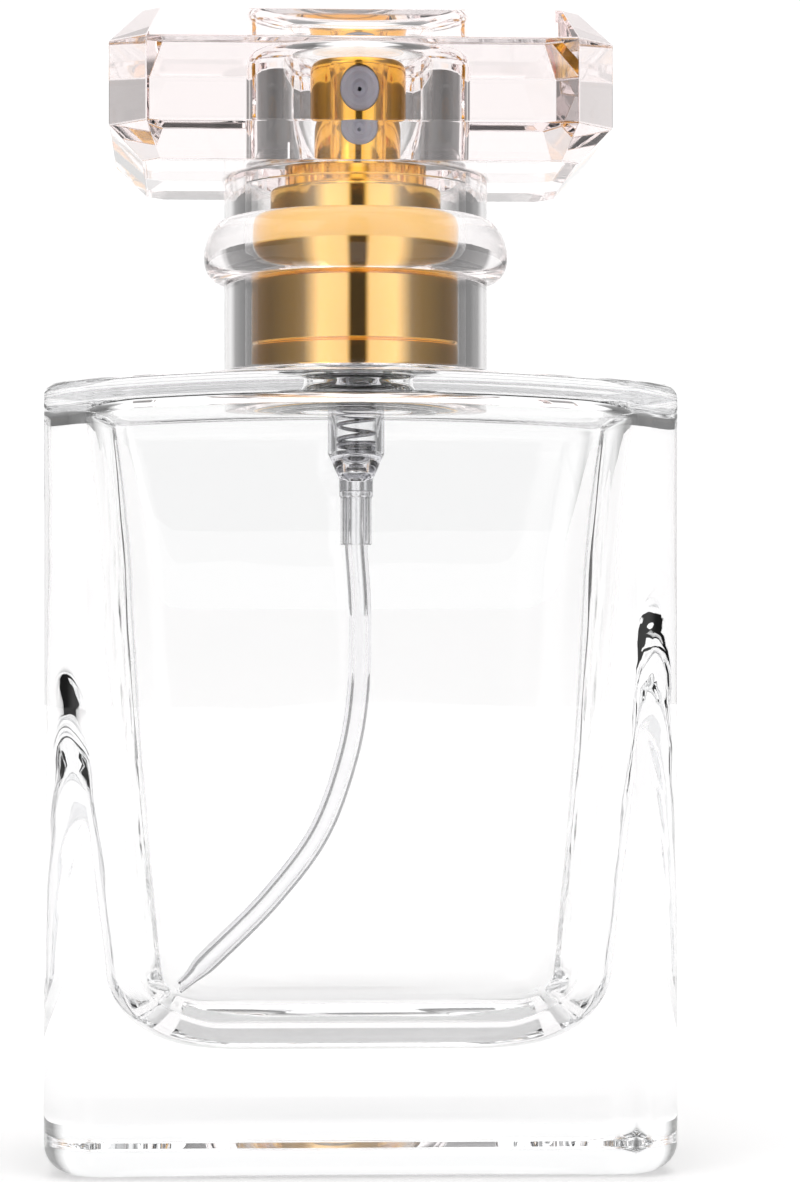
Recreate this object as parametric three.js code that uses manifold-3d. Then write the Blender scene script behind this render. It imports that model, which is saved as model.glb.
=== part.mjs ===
// A clear glass aftershave flacon with a crimped spray pump and a clear T-shaped overcap.
// Millimetres, +Z up. The origin is the middle of the base, and the nozzle faces -Y.

import * as THREE from "three";
import { LoftGeometry } from "three/addons/geometries/LoftGeometry.js";
import { mergeVertices } from "three/addons/utils/BufferGeometryUtils.js";
import Module from "manifold-3d";

const wasm = await Module();
wasm.setup();

// ---- How finely round shapes are divided ----
const SIDES = 32; // round the flacon, the collar, the cap and the button
const FINE_SIDES = 24; // round the small pieces inside the pump
const QUARTER = Math.PI / 2;

// ---- Fits ----
const TOUCH = 0.05; // between two pieces that rest on or slide in each other

// ---- Flacon ----
const BODY_WIDTH = 54;
const BODY_DEPTH = 32;
const BODY_CORNER = 4; // radius of the upright edges
const BASE_ROUND = 3;
const SHOULDER_ROUND = 2.6;
const SHOULDER_EDGE = 67.5; // height of the shoulder just inside its rounded edge
const SHOULDER_CROWN = 1; // how much higher the shoulder is in the middle of the width
const SHOULDER_TOP = 68.9; // where the neck starts
const NECK_ROOT = 6.8;
const NECK_BEAD = 7.5;
const BEAD_HEIGHT = 3.4;
const NECK_TOP = 77.3;
const NECK_BORE = 4.75;
const FLOOR = 10.3; // thickness of the solid glass foot
const FLOOR_FILLET = { width: 9, depth: 6.5, height: 7 };
const CAVITY_LOW = { width: 21.9, depth: 11.3, corner: 8 }; // half sizes just above the fillet
const CAVITY_HIGH = { width: 25.2, depth: 12.9, corner: 5 };
const CAVITY_HIGH_Z = 62.5;
const CEILING = 65.8;

// ---- Pump, upwards from the tube socket ----
const SOCKET_FOOT = 53.9;
const SOCKET_SHOULDER = 58.7; // where the dip tube stops
const BALL_RADIUS = 1.02;
const BALL_LIFT = 0.4;
const BALL_HOLE = 0.5;
const CHAMBER_RADIUS = 1.3;
const CHAMBER_FOOT = 60.35; // top edge of the conical ball seat
const LOWER_BORE = 1.88;
const LOWER_BORE_FOOT = 61.95;
const LOWER_BARREL = 2.5;
const UPPER_BORE = 3.35;
const UPPER_BORE_FOOT = 69.75;
const UPPER_BARREL = 3.95;
const SEAT_THICK = 0.25;
const STEM_RADIUS = 1.5;
const STEM_BORE = 0.55;
const PISTON_TUBE = 1.3; // the thinner foot of the stem, on which the piston slips
const PRESS_TRAVEL = 3.6; // how far the button goes down

// ---- Stack above the neck, each piece resting on the one before ----
const GASKET_FOOT = NECK_TOP + TOUCH;
const GASKET_TOP = GASKET_FOOT + 0.8;
const FLANGE_FOOT = GASKET_TOP + TOUCH;
const FLANGE_TOP = FLANGE_FOOT + 0.8;
const TURRET_FOOT = FLANGE_TOP + TOUCH;
const TURRET_TOP = TURRET_FOOT + 0.65;
const TURRET_PLUG = 1.3; // how far the turret reaches down into the housing
const FERRULE_PLATE = TURRET_TOP + TOUCH;
const FERRULE_THICK = 0.35;
const FERRULE_TOP = FERRULE_PLATE + FERRULE_THICK;

// ---- Pieces on the stem, at rest ----
const SEAL_TOP = TURRET_FOOT - TURRET_PLUG - TOUCH;
const SEAL_THICK = 0.35;
const STEM_FLANGE_TOP = SEAL_TOP - SEAL_THICK - TOUCH;
const STEM_FLANGE_THICK = 0.5;
const STEM_FLANGE_RADIUS = 2.9;
const PISTON_FOOT = UPPER_BORE_FOOT + PRESS_TRAVEL + TOUCH;
const PISTON_HEIGHT = 1.4;
const PIN_SHOULDER = 1.8;
const PIN_SHOULDER_THICK = 0.6;
const STEM_TOP = 88.9;

// ---- Springs ----
const RETURN_WIRE = 0.21; // half the wire's thickness
const RETURN_RADIUS = 1.55;
const SLIP_WIRE = 0.15;
const SLIP_RADIUS = 2.2;

// ---- Dip tube ----
const TUBE_RADIUS = 1;
const TUBE_BORE = 0.5;

// ---- Collar ----
const COLLAR_RADIUS = 9.1;
const COLLAR_FOOT = 69.3;
const COLLAR_STEP = 82.8;
const COLLAR_NECK_RADIUS = 7.55; // the raised ring above the step
const COLLAR_TOP = 85.2;
const COLLAR_MOUTH = 6.6;
const COLLAR_WALL = 0.35;
const COLLAR_GROOVE = 2.1; // how far above the foot the groove runs

// ---- Button ----
const BUTTON_RADIUS = 6.3;
const BUTTON_FOOT = 84.6;
const BUTTON_TOP = 96.2;
const BUTTON_WALL = 0.35;
const BUTTON_EDGE = 0.8;
const NOZZLE_HEIGHT = 93.2;
const NOZZLE_RADIUS = 2;

// ---- Cap ----
const BLOCK_WIDTH = 43;
const BLOCK_DEPTH = 30;
const BLOCK_FOOT = 86.3;
const BLOCK_TOP = 99.2;
const BLOCK_BEVEL = 2.9;
const BLOCK_CORNER = 3.2;
const SKIRT_RADIUS = 11.65;
const SKIRT_FOOT = 69.1;
const BEAD_RADIUS = 13.45;
const BEAD_CENTRE = 79.9;
const BEAD_TALL = 5.3;
const CAP_BORE = 9.8;
const CAP_CEILING = 96.9;
const LINER_INNER = 9.2;
const LINER_TOP = 85.6;

// ---- Finishes ----
const finish = (color, roughness, metalness) =>
  new THREE.MeshStandardMaterial({ color, roughness, metalness });
const clear = (color) =>
  new THREE.MeshStandardMaterial({ color, roughness: 0.05, metalness: 0, transparent: true, opacity: 0.35 });

// ---- Shape helpers ----

// One point of every section round the flacon or the cap block, anticlockwise from above.
// corner(share) gives the path of one upright edge, from its +X end (0) to its +Y end (1).
function cornered(halfWidth, halfDepth, size, heightAt, corner) {
  const perCorner = SIDES / 4;
  return Array.from({ length: SIDES }, (_, i) => {
    const quadrant = Math.floor(i / perCorner);
    const share = (i % perCorner) / (perCorner - 1);
    const mirrored = quadrant % 2 === 1;
    const [alongX, alongY] = corner(mirrored ? 1 - share : share);
    const signX = quadrant === 0 || quadrant === 3 ? 1 : -1;
    const signY = quadrant < 2 ? 1 : -1;
    const x = signX * (halfWidth - size * (1 - alongX));
    const y = signY * (halfDepth - size * (1 - alongY));
    return new THREE.Vector3(x, y, heightAt(x));
  });
}

// A section with round upright edges; a crowned one is higher in the middle of the width.
function roundedSection(halfWidth, halfDepth, radius, z, crown = 0) {
  const heightAt = (x) => z + crown * (1 - (x / halfWidth) ** 2);
  const arc = (share) => [Math.cos(share * QUARTER), Math.sin(share * QUARTER)];
  return cornered(halfWidth, halfDepth, radius, heightAt, arc);
}

// A section with flat bevels on its upright edges.
function bevelledSection(halfWidth, halfDepth, bevel, z) {
  return cornered(halfWidth, halfDepth, bevel, () => z, (share) => [1 - share, share]);
}

function roundSection(radius, z) {
  return Array.from({ length: SIDES }, (_, i) => {
    const angle = ((i + 0.5) / SIDES) * 2 * Math.PI;
    return new THREE.Vector3(radius * Math.cos(angle), radius * Math.sin(angle), z);
  });
}

// The middle of a flat end, where a loft closes.
function poleSection(z) {
  return Array.from({ length: SIDES }, () => new THREE.Vector3(0, 0, z));
}

// A solid turned about Z from [radius, height] points, anticlockwise; it closes on itself or on the axis.
function turned(profile, sides = SIDES) {
  const points = profile.map(([radius, z]) => new THREE.Vector2(radius, z));
  const [first] = points;
  if (first.x > 0) points.push(first.clone());
  return new THREE.LatheGeometry(points, sides, Math.PI / sides).rotateX(QUARTER);
}

// A straight-sided ring or tube.
function ring(inner, outer, foot, top, sides = SIDES) {
  return turned([[inner, foot], [outer, foot], [outer, top], [inner, top]], sides);
}

function rod(radius, foot, top, sides = FINE_SIDES) {
  return turned([[0, foot], [radius, foot], [radius, top], [0, top]], sides);
}

// Points of an arc in a [radius, height] profile, from one angle to another.
function arcPoints(centreR, centreZ, radiusR, radiusZ, from, to, steps) {
  return Array.from({ length: steps + 1 }, (_, i) => {
    const angle = from + ((to - from) * i) / steps;
    return [centreR + radiusR * Math.cos(angle), centreZ + radiusZ * Math.sin(angle)];
  });
}

// A round section with an optional bore, for wires and tubes.
function roundShape(radius, bore = 0) {
  const shape = new THREE.Shape().absarc(0, 0, radius, 0, 2 * Math.PI, false);
  if (bore > 0) shape.holes.push(new THREE.Path().absarc(0, 0, bore, 0, 2 * Math.PI, true));
  return shape;
}

function solidOf(geometry) {
  const bare = geometry.clone();
  bare.deleteAttribute("normal");
  bare.deleteAttribute("uv");
  const merged = mergeVertices(bare, 1e-4);
  const mesh = new wasm.Mesh({
    numProp: 3,
    vertProperties: merged.getAttribute("position").array,
    triVerts: new Uint32Array(merged.getIndex().array),
  });
  return new wasm.Manifold(mesh);
}

function geometryOf(solid) {
  const mesh = solid.getMesh();
  const geometry = new THREE.BufferGeometry();
  geometry.setAttribute("position", new THREE.BufferAttribute(mesh.vertProperties, 3));
  geometry.setIndex(new THREE.BufferAttribute(mesh.triVerts, 1));
  geometry.computeVertexNormals();
  return geometry;
}

// A round wire that winds up about Z, with closed turns lying on each other at both ends.
class CoilCurve extends THREE.Curve {
  constructor({ radius, wire, foot, top, openTurns, closedTurns }) {
    super();
    this.arcLengthDivisions = 600;
    this.radius = radius;
    this.closedRise = 2.1 * wire;
    this.closedTurns = closedTurns;
    this.openTurns = openTurns;
    this.foot = foot + wire;
    this.top = top - wire;
  }

  getPoint(t, target = new THREE.Vector3()) {
    const turn = t * (this.openTurns + 2 * this.closedTurns);
    const closedHeight = this.closedTurns * this.closedRise;
    const openRise = (this.top - this.foot - 2 * closedHeight) / this.openTurns;
    const lowTurns = Math.min(turn, this.closedTurns);
    const openTurns = THREE.MathUtils.clamp(turn - this.closedTurns, 0, this.openTurns);
    const highTurns = Math.max(turn - this.closedTurns - this.openTurns, 0);
    const height = this.foot + (lowTurns + highTurns) * this.closedRise + openTurns * openRise;
    const angle = turn * 2 * Math.PI;
    return target.set(this.radius * Math.cos(angle), this.radius * Math.sin(angle), height);
  }
}

function spring(options, stepsPerTurn) {
  const turns = options.openTurns + 2 * options.closedTurns;
  return new THREE.ExtrudeGeometry(roundShape(options.wire), {
    extrudePath: new CoilCurve(options),
    steps: Math.round(turns * stepsPerTurn),
    curveSegments: 3,
  });
}

// ---- Flacon ----

// Half sizes of the inside at a height above the fillet: it widens fast at first, then slowly.
function cavitySection(z) {
  const low = FLOOR + FLOOR_FILLET.height;
  const widening = Math.sin(((z - low) / (CAVITY_HIGH_Z - low)) * QUARTER);
  const between = (key) => THREE.MathUtils.lerp(CAVITY_LOW[key], CAVITY_HIGH[key], widening);
  return roundedSection(between("width"), between("depth"), between("corner"), z);
}

function glassBottle() {
  const halfWidth = BODY_WIDTH / 2;
  const halfDepth = BODY_DEPTH / 2;
  const sections = [poleSection(0)];

  // Rounded foot, upright sides and rounded shoulder, each edge in three steps.
  for (let i = 0; i <= 3; i += 1) {
    const angle = (i / 3) * QUARTER;
    const inset = BASE_ROUND * (1 - Math.sin(angle));
    const z = BASE_ROUND * (1 - Math.cos(angle));
    sections.push(roundedSection(halfWidth - inset, halfDepth - inset, BODY_CORNER - inset / 2, z));
  }
  for (let i = 0; i <= 3; i += 1) {
    const angle = (i / 3) * QUARTER;
    const inset = SHOULDER_ROUND * (1 - Math.cos(angle));
    const z = SHOULDER_EDGE - SHOULDER_ROUND * (1 - Math.sin(angle));
    const corner = BODY_CORNER - inset / 2;
    sections.push(roundedSection(halfWidth - inset, halfDepth - inset, corner, z, SHOULDER_CROWN));
  }

  // Neck with its crimp bead, then down its bore.
  const beadFoot = NECK_TOP - BEAD_HEIGHT;
  sections.push(
    roundSection(NECK_BEAD + 2, SHOULDER_TOP),
    roundSection(NECK_ROOT, SHOULDER_TOP + 0.2),
    roundSection(NECK_ROOT, beadFoot - 0.5),
    roundSection(NECK_BEAD, beadFoot),
    roundSection(NECK_BEAD, NECK_TOP - 0.4),
    roundSection(NECK_BEAD - 0.4, NECK_TOP),
    roundSection(NECK_BORE, NECK_TOP),
    roundSection(NECK_BORE, CEILING + 1.9),
    roundSection(NECK_BORE + 0.5, CEILING + 1.1),
  );

  // Ceiling, tapering sides and the deep fillet above the floor.
  const ceilingInset = CEILING - CAVITY_HIGH_Z;
  for (let i = 2; i >= 1; i -= 1) {
    const angle = (i / 2) * QUARTER;
    const inset = ceilingInset * (1 - Math.cos(angle));
    const width = CAVITY_HIGH.width - inset;
    const depth = CAVITY_HIGH.depth - inset;
    const z = CAVITY_HIGH_Z + ceilingInset * Math.sin(angle);
    sections.push(roundedSection(width, depth, CAVITY_HIGH.corner - inset / 2, z, i / 2));
  }
  for (const z of [CAVITY_HIGH_Z, 49, 35, 25]) {
    sections.push(cavitySection(z));
  }
  for (let i = 0; i <= 4; i += 1) {
    const angle = (i / 4) * QUARTER;
    const share = 1 - Math.cos(angle);
    sections.push(
      roundedSection(
        CAVITY_LOW.width - FLOOR_FILLET.width * share,
        CAVITY_LOW.depth - FLOOR_FILLET.depth * share,
        CAVITY_LOW.corner - 4 * share,
        FLOOR + FLOOR_FILLET.height * (1 - Math.sin(angle)),
      ),
    );
  }
  sections.push(poleSection(FLOOR));
  return new LoftGeometry(sections);
}

// ---- Crimp closure ----

function neckGasket() {
  return ring(NECK_BORE + TOUCH, NECK_BEAD - 0.2, GASKET_FOOT, GASKET_TOP);
}

// The skirt is rolled in under the neck bead.
function ferrule() {
  const inner = NECK_BEAD + 0.15;
  const outer = inner + FERRULE_THICK;
  const rolled = NECK_TOP - BEAD_HEIGHT - 0.6;
  return turned([
    [NECK_ROOT + 0.4, rolled - FERRULE_THICK],
    [outer - 0.2, rolled - FERRULE_THICK],
    [outer, rolled],
    [outer, FERRULE_TOP - 0.3],
    [outer - 0.3, FERRULE_TOP],
    [3.4, FERRULE_TOP],
    [3.4, FERRULE_PLATE],
    [inner, FERRULE_PLATE],
    [inner, rolled + 0.1],
    [NECK_ROOT + 0.4, rolled],
  ]);
}

function turret() {
  const bore = STEM_RADIUS + 0.06;
  const plug = UPPER_BORE - TOUCH;
  return turned(
    [
      [bore, TURRET_FOOT - TURRET_PLUG],
      [plug, TURRET_FOOT - TURRET_PLUG],
      [plug, TURRET_FOOT],
      [6.6, TURRET_FOOT],
      [6.6, TURRET_TOP],
      [3.2, TURRET_TOP],
      [3.2, TURRET_TOP + 0.8],
      [2.9, TURRET_TOP + 1],
      [bore, TURRET_TOP + 1],
    ],
    FINE_SIDES,
  );
}

function stemSeal() {
  return ring(STEM_RADIUS + 0.1, UPPER_BORE - 0.1, SEAL_TOP - SEAL_THICK, SEAL_TOP, FINE_SIDES);
}

// ---- Pump ----

function pumpHousing() {
  const ballHoleTop = CHAMBER_FOOT - (CHAMBER_RADIUS - BALL_HOLE);
  return turned(
    [
      [TUBE_RADIUS + 0.06, SOCKET_FOOT],
      [TUBE_RADIUS + 0.4, SOCKET_FOOT],
      [TUBE_RADIUS + 0.4, SOCKET_FOOT + 4.2],
      [TUBE_RADIUS + 0.5, SOCKET_FOOT + 4.3],
      [TUBE_RADIUS + 0.5, SOCKET_FOOT + 5.8],
      [LOWER_BARREL, LOWER_BORE_FOOT + 0.1],
      [LOWER_BARREL, UPPER_BORE_FOOT - 1.5],
      [UPPER_BARREL, UPPER_BORE_FOOT + 0.1],
      [UPPER_BARREL, FLANGE_FOOT],
      [6.6, FLANGE_FOOT],
      [6.6, FLANGE_TOP],
      [UPPER_BORE, FLANGE_TOP],
      [UPPER_BORE, UPPER_BORE_FOOT],
      [LOWER_BORE, UPPER_BORE_FOOT - 0.9],
      [LOWER_BORE, LOWER_BORE_FOOT],
      [CHAMBER_RADIUS, LOWER_BORE_FOOT],
      [CHAMBER_RADIUS, CHAMBER_FOOT],
      [BALL_HOLE, ballHoleTop],
      [BALL_HOLE, SOCKET_SHOULDER],
      [TUBE_RADIUS + 0.06, SOCKET_SHOULDER],
    ],
    FINE_SIDES,
  );
}

// The ball sits in a cone of 45 degrees, so its centre is worked out from the cone's rim.
function inletBall() {
  const coneTip = CHAMBER_FOOT - CHAMBER_RADIUS;
  const centre = coneTip + (BALL_RADIUS + 0.03) * Math.SQRT2;
  return new THREE.SphereGeometry(BALL_RADIUS, 16, 10).rotateX(QUARTER).translate(0, 0, centre);
}

const SEAT_FOOT = LOWER_BORE_FOOT + TOUCH;
const RETURN_FOOT = SEAT_FOOT + SEAT_THICK + TOUCH;
const PIN_SHOULDER_TOP = PISTON_FOOT - TOUCH;
const PIN_SHOULDER_FOOT = PIN_SHOULDER_TOP - PIN_SHOULDER_THICK;
const PISTON_TOP = PISTON_FOOT + PISTON_HEIGHT;

function springSeat() {
  return ring(0.8, LOWER_BORE - TOUCH, SEAT_FOOT, SEAT_FOOT + SEAT_THICK, FINE_SIDES);
}

function mainSpring() {
  const coil = {
    radius: RETURN_RADIUS,
    wire: RETURN_WIRE,
    foot: RETURN_FOOT,
    top: PIN_SHOULDER_FOOT - TOUCH,
    openTurns: 6,
    closedTurns: 1.5,
  };
  return spring(coil, 12);
}

function precompressionSpring() {
  const coil = {
    radius: SLIP_RADIUS,
    wire: SLIP_WIRE,
    foot: PISTON_TOP + TOUCH,
    top: STEM_FLANGE_TOP - STEM_FLANGE_THICK - TOUCH,
    openTurns: 2,
    closedTurns: 1,
  };
  return spring(coil, 12);
}

// Two lips seal against the housing; the waist between them stays clear.
function piston() {
  const lip = UPPER_BORE - TOUCH;
  return turned(
    [
      [PISTON_TUBE + TOUCH, PISTON_FOOT],
      [lip - 0.5, PISTON_FOOT],
      [lip, PISTON_FOOT + 0.1],
      [lip - 0.3, PISTON_FOOT + PISTON_HEIGHT / 2],
      [lip, PISTON_TOP - 0.1],
      [lip - 0.5, PISTON_TOP],
      [PISTON_TUBE + TOUCH, PISTON_TOP],
    ],
    FINE_SIDES,
  );
}

function stem() {
  const foot = PISTON_FOOT + 0.2;
  const flangeFoot = STEM_FLANGE_TOP - STEM_FLANGE_THICK;
  return turned(
    [
      [STEM_BORE, foot],
      [PISTON_TUBE, foot],
      [PISTON_TUBE, flangeFoot],
      [STEM_FLANGE_RADIUS, flangeFoot],
      [STEM_FLANGE_RADIUS, STEM_FLANGE_TOP],
      [STEM_RADIUS, STEM_FLANGE_TOP],
      [STEM_RADIUS, STEM_TOP - 0.3],
      [STEM_RADIUS - 0.3, STEM_TOP],
      [STEM_BORE, STEM_TOP],
    ],
    FINE_SIDES,
  );
}

function valvePin() {
  const shank = STEM_BORE - TOUCH;
  return turned(
    [
      [0, PIN_SHOULDER_FOOT - 2.1],
      [0.7, PIN_SHOULDER_FOOT - 2.1],
      [0.95, PIN_SHOULDER_FOOT - 1.8],
      [0.95, PIN_SHOULDER_FOOT],
      [PIN_SHOULDER, PIN_SHOULDER_FOOT],
      [PIN_SHOULDER, PIN_SHOULDER_TOP],
      [shank, PIN_SHOULDER_TOP],
      [shank, PIN_SHOULDER_TOP + 2.5],
      [0, PIN_SHOULDER_TOP + 2.6],
    ],
    FINE_SIDES,
  );
}

// The tube leaves its socket straight down and curls to the left corner of the floor.
function dipTube() {
  const route = new THREE.CatmullRomCurve3(
    [
      [0, 0, SOCKET_SHOULDER - 0.1],
      [0, 0, SOCKET_FOOT],
      [0.35, 0, 48],
      [0.2, 0.1, 41],
      [-0.8, 0.3, 35],
      [-3.2, 0.6, 28.4],
      [-7.2, 0.9, 22.9],
      [-12, 1.2, 18],
      [-17, 1.5, 13.6],
    ].map(([x, y, z]) => new THREE.Vector3(x, y, z)),
  );
  return new THREE.ExtrudeGeometry(roundShape(TUBE_RADIUS, TUBE_BORE), {
    extrudePath: route,
    steps: 26,
    curveSegments: 5,
  });
}

// ---- Collar ----

function collarShell() {
  const grooveFoot = COLLAR_FOOT + COLLAR_GROOVE;
  const inner = COLLAR_RADIUS - COLLAR_WALL;
  const neckInner = COLLAR_NECK_RADIUS - COLLAR_WALL;
  return turned([
    [inner, COLLAR_FOOT],
    [COLLAR_RADIUS, COLLAR_FOOT],
    [COLLAR_RADIUS, grooveFoot - 0.1],
    [COLLAR_RADIUS - 0.15, grooveFoot],
    [COLLAR_RADIUS, grooveFoot + 0.1],
    [COLLAR_RADIUS, COLLAR_STEP - 0.4],
    [COLLAR_RADIUS - 0.4, COLLAR_STEP],
    [COLLAR_NECK_RADIUS, COLLAR_STEP],
    [COLLAR_NECK_RADIUS, COLLAR_TOP - 0.3],
    [COLLAR_NECK_RADIUS - 0.3, COLLAR_TOP],
    [COLLAR_MOUTH, COLLAR_TOP],
    [COLLAR_MOUTH, COLLAR_TOP - COLLAR_WALL],
    [neckInner, COLLAR_TOP - COLLAR_WALL],
    [neckInner, COLLAR_STEP - COLLAR_WALL],
    [inner, COLLAR_STEP - COLLAR_WALL],
  ]);
}

// The web across the middle stops the liner on top of the ferrule.
function collarLiner() {
  const inner = NECK_BEAD + 0.15 + FERRULE_THICK + TOUCH;
  const outer = COLLAR_RADIUS - COLLAR_WALL - TOUCH;
  const webFoot = FERRULE_TOP + TOUCH;
  const top = COLLAR_STEP - COLLAR_WALL - TOUCH;
  return turned([
    [inner, COLLAR_FOOT + 0.5],
    [outer, COLLAR_FOOT + 0.5],
    [outer, top],
    [inner, top],
    [inner, webFoot + 0.5],
    [6.8, webFoot + 0.5],
    [6.8, webFoot],
    [inner, webFoot],
  ]);
}

// ---- Button ----

// A bore from the middle of the button out through its front.
function frontBore(radius, from, to) {
  return rod(radius, from, to).rotateX(QUARTER).translate(0, 0, NOZZLE_HEIGHT);
}

function actuatorBody() {
  const outer = BUTTON_RADIUS - BUTTON_WALL - TOUCH;
  const top = BUTTON_TOP - BUTTON_WALL - TOUCH;
  const socketFoot = BUTTON_FOOT + 0.4;
  const core = turned([
    [0, socketFoot],
    [2.6, socketFoot],
    [2.6, socketFoot + 3],
    [outer - 0.6, socketFoot + 3],
    [outer - 0.6, socketFoot],
    [outer, socketFoot],
    [outer, top - 0.6],
    [outer - 0.6, top],
    [0, top],
  ]);
  const stemSocket = rod(STEM_RADIUS + TOUCH, socketFoot - 1, STEM_TOP + 0.1);
  const riser = rod(0.5, STEM_TOP - 1, NOZZLE_HEIGHT, FINE_SIDES / 2);
  const nozzleSeat = frontBore(NOZZLE_RADIUS + TOUCH, 3, BUTTON_RADIUS + 1);
  const channel = frontBore(0.5, -0.5, 4);
  return geometryOf(
    [stemSocket, riser, nozzleSeat, channel].reduce(
      (body, cut) => body.subtract(solidOf(cut)),
      solidOf(core),
    ),
  );
}

function actuatorShell() {
  const inner = BUTTON_RADIUS - BUTTON_WALL;
  const roof = BUTTON_TOP - BUTTON_WALL;
  const edge = arcPoints(
    BUTTON_RADIUS - BUTTON_EDGE, BUTTON_TOP - BUTTON_EDGE, BUTTON_EDGE, BUTTON_EDGE, 0, QUARTER, 3,
  );
  const cup = turned([
    [0, roof],
    [inner - 0.5, roof],
    [inner, roof - 0.5],
    [inner, BUTTON_FOOT],
    [BUTTON_RADIUS, BUTTON_FOOT],
    ...edge,
    [0, BUTTON_TOP],
  ]);
  const nozzleHole = frontBore(NOZZLE_RADIUS + TOUCH, 3, BUTTON_RADIUS + 1);
  return geometryOf(solidOf(cup).subtract(solidOf(nozzleHole)));
}

// A dished face with the spray orifice through its middle.
function nozzleInsert() {
  const back = 3 + TOUCH;
  const face = BUTTON_RADIUS - 0.2;
  const orifice = 0.2;
  return turned(
    [
      [orifice, back],
      [NOZZLE_RADIUS, back],
      [NOZZLE_RADIUS, face - 0.15],
      [NOZZLE_RADIUS - 0.15, face],
      [0.9, face],
      [orifice, face - 0.4],
    ],
    FINE_SIDES,
  )
    .rotateX(QUARTER)
    .translate(0, 0, NOZZLE_HEIGHT);
}

// ---- Cap ----

function capShell() {
  const halfWidth = BLOCK_WIDTH / 2;
  const halfDepth = BLOCK_DEPTH / 2;
  const shrunk = (inset, z) =>
    bevelledSection(halfWidth - inset, halfDepth - inset, BLOCK_CORNER - inset / 2, z);
  const beadHalf = BEAD_TALL / 2;
  const bead = arcPoints(
    SKIRT_RADIUS, BEAD_CENTRE, BEAD_RADIUS - SKIRT_RADIUS, beadHalf, -QUARTER, QUARTER, 6,
  );
  const profile = [
    [CAP_BORE - 1.5, CAP_CEILING],
    [CAP_BORE, CAP_CEILING - 1.5],
    [CAP_BORE, SKIRT_FOOT],
    [SKIRT_RADIUS, SKIRT_FOOT],
    ...bead,
    [SKIRT_RADIUS, BLOCK_FOOT],
  ];
  return new LoftGeometry([
    poleSection(CAP_CEILING),
    ...profile.map(([radius, z]) => roundSection(radius, z)),
    shrunk(BLOCK_BEVEL, BLOCK_FOOT),
    shrunk(0, BLOCK_FOOT + BLOCK_BEVEL),
    shrunk(0, BLOCK_TOP - BLOCK_BEVEL),
    shrunk(BLOCK_BEVEL, BLOCK_TOP),
    poleSection(BLOCK_TOP),
  ]);
}

function capLiner() {
  return ring(LINER_INNER, CAP_BORE - TOUCH, SKIRT_FOOT + 0.2, LINER_TOP);
}

// ---- Assembly ----

const GLASS = clear(0xf2f6f8);
const ACRYLIC = clear(0xf0e4e6);
const TUBING = clear(0xe8ebee);
const GOLD = finish(0xe0aa48, 0.2, 1);
const BUTTON_GOLD = finish(0xe09a30, 0.22, 1);
const ALUMINIUM = finish(0xc8c8ca, 0.35, 1);
const STEEL = finish(0xb9bcc0, 0.25, 1);
const WHITE_PLASTIC = finish(0xe6e6e4, 0.45, 0);
const PALE_PLASTIC = finish(0xb9b2bf, 0.4, 0);
const RUBBER = finish(0x3a3a3c, 0.8, 0);

const aftershave = new THREE.Group();

function addTo(group, name, geometry, material) {
  const mesh = new THREE.Mesh(geometry, material);
  mesh.name = name;
  group.add(mesh);
}

// What stands still with the glass.
addTo(aftershave, "glass_bottle", glassBottle(), GLASS);
addTo(aftershave, "neck_gasket", neckGasket(), RUBBER);
addTo(aftershave, "ferrule", ferrule(), ALUMINIUM);
addTo(aftershave, "turret", turret(), WHITE_PLASTIC);
addTo(aftershave, "stem_seal", stemSeal(), RUBBER);
addTo(aftershave, "pump_housing", pumpHousing(), TUBING);
addTo(aftershave, "spring_seat", springSeat(), STEEL);
addTo(aftershave, "main_spring", mainSpring(), STEEL);
addTo(aftershave, "dip_tube", dipTube(), TUBING);
addTo(aftershave, "collar_shell", collarShell(), GOLD);
addTo(aftershave, "collar_liner", collarLiner(), WHITE_PLASTIC);
addTo(aftershave, "inlet_ball", inletBall(), STEEL);

// What goes down with the button.
const plunger = new THREE.Group();
aftershave.add(plunger);
addTo(plunger, "stem", stem(), WHITE_PLASTIC);
addTo(plunger, "valve_pin", valvePin(), WHITE_PLASTIC);
addTo(plunger, "precompression_spring", precompressionSpring(), STEEL);
addTo(plunger, "piston", piston(), WHITE_PLASTIC);

// What also turns on the stem.
const button = new THREE.Group();
plunger.add(button);
addTo(button, "actuator_body", actuatorBody(), WHITE_PLASTIC);
addTo(button, "actuator_shell", actuatorShell(), BUTTON_GOLD);
addTo(button, "nozzle_insert", nozzleInsert(), PALE_PLASTIC);

// What pulls off.
const cap = new THREE.Group();
aftershave.add(cap);
addTo(cap, "cap_shell", capShell(), ACRYLIC);
addTo(cap, "cap_liner", capLiner(), ACRYLIC);

export default aftershave;
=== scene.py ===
"""A clear glass aftershave flacon with a gold spray pump and a faceted clear overcap.

Every surface is a grid of points worked out with numpy, in millimetres, and is turned into a mesh in
metres at the last moment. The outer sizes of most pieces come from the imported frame.
"""

import logging
import math
from dataclasses import dataclass, field
from enum import Enum
from typing import Sequence

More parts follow.
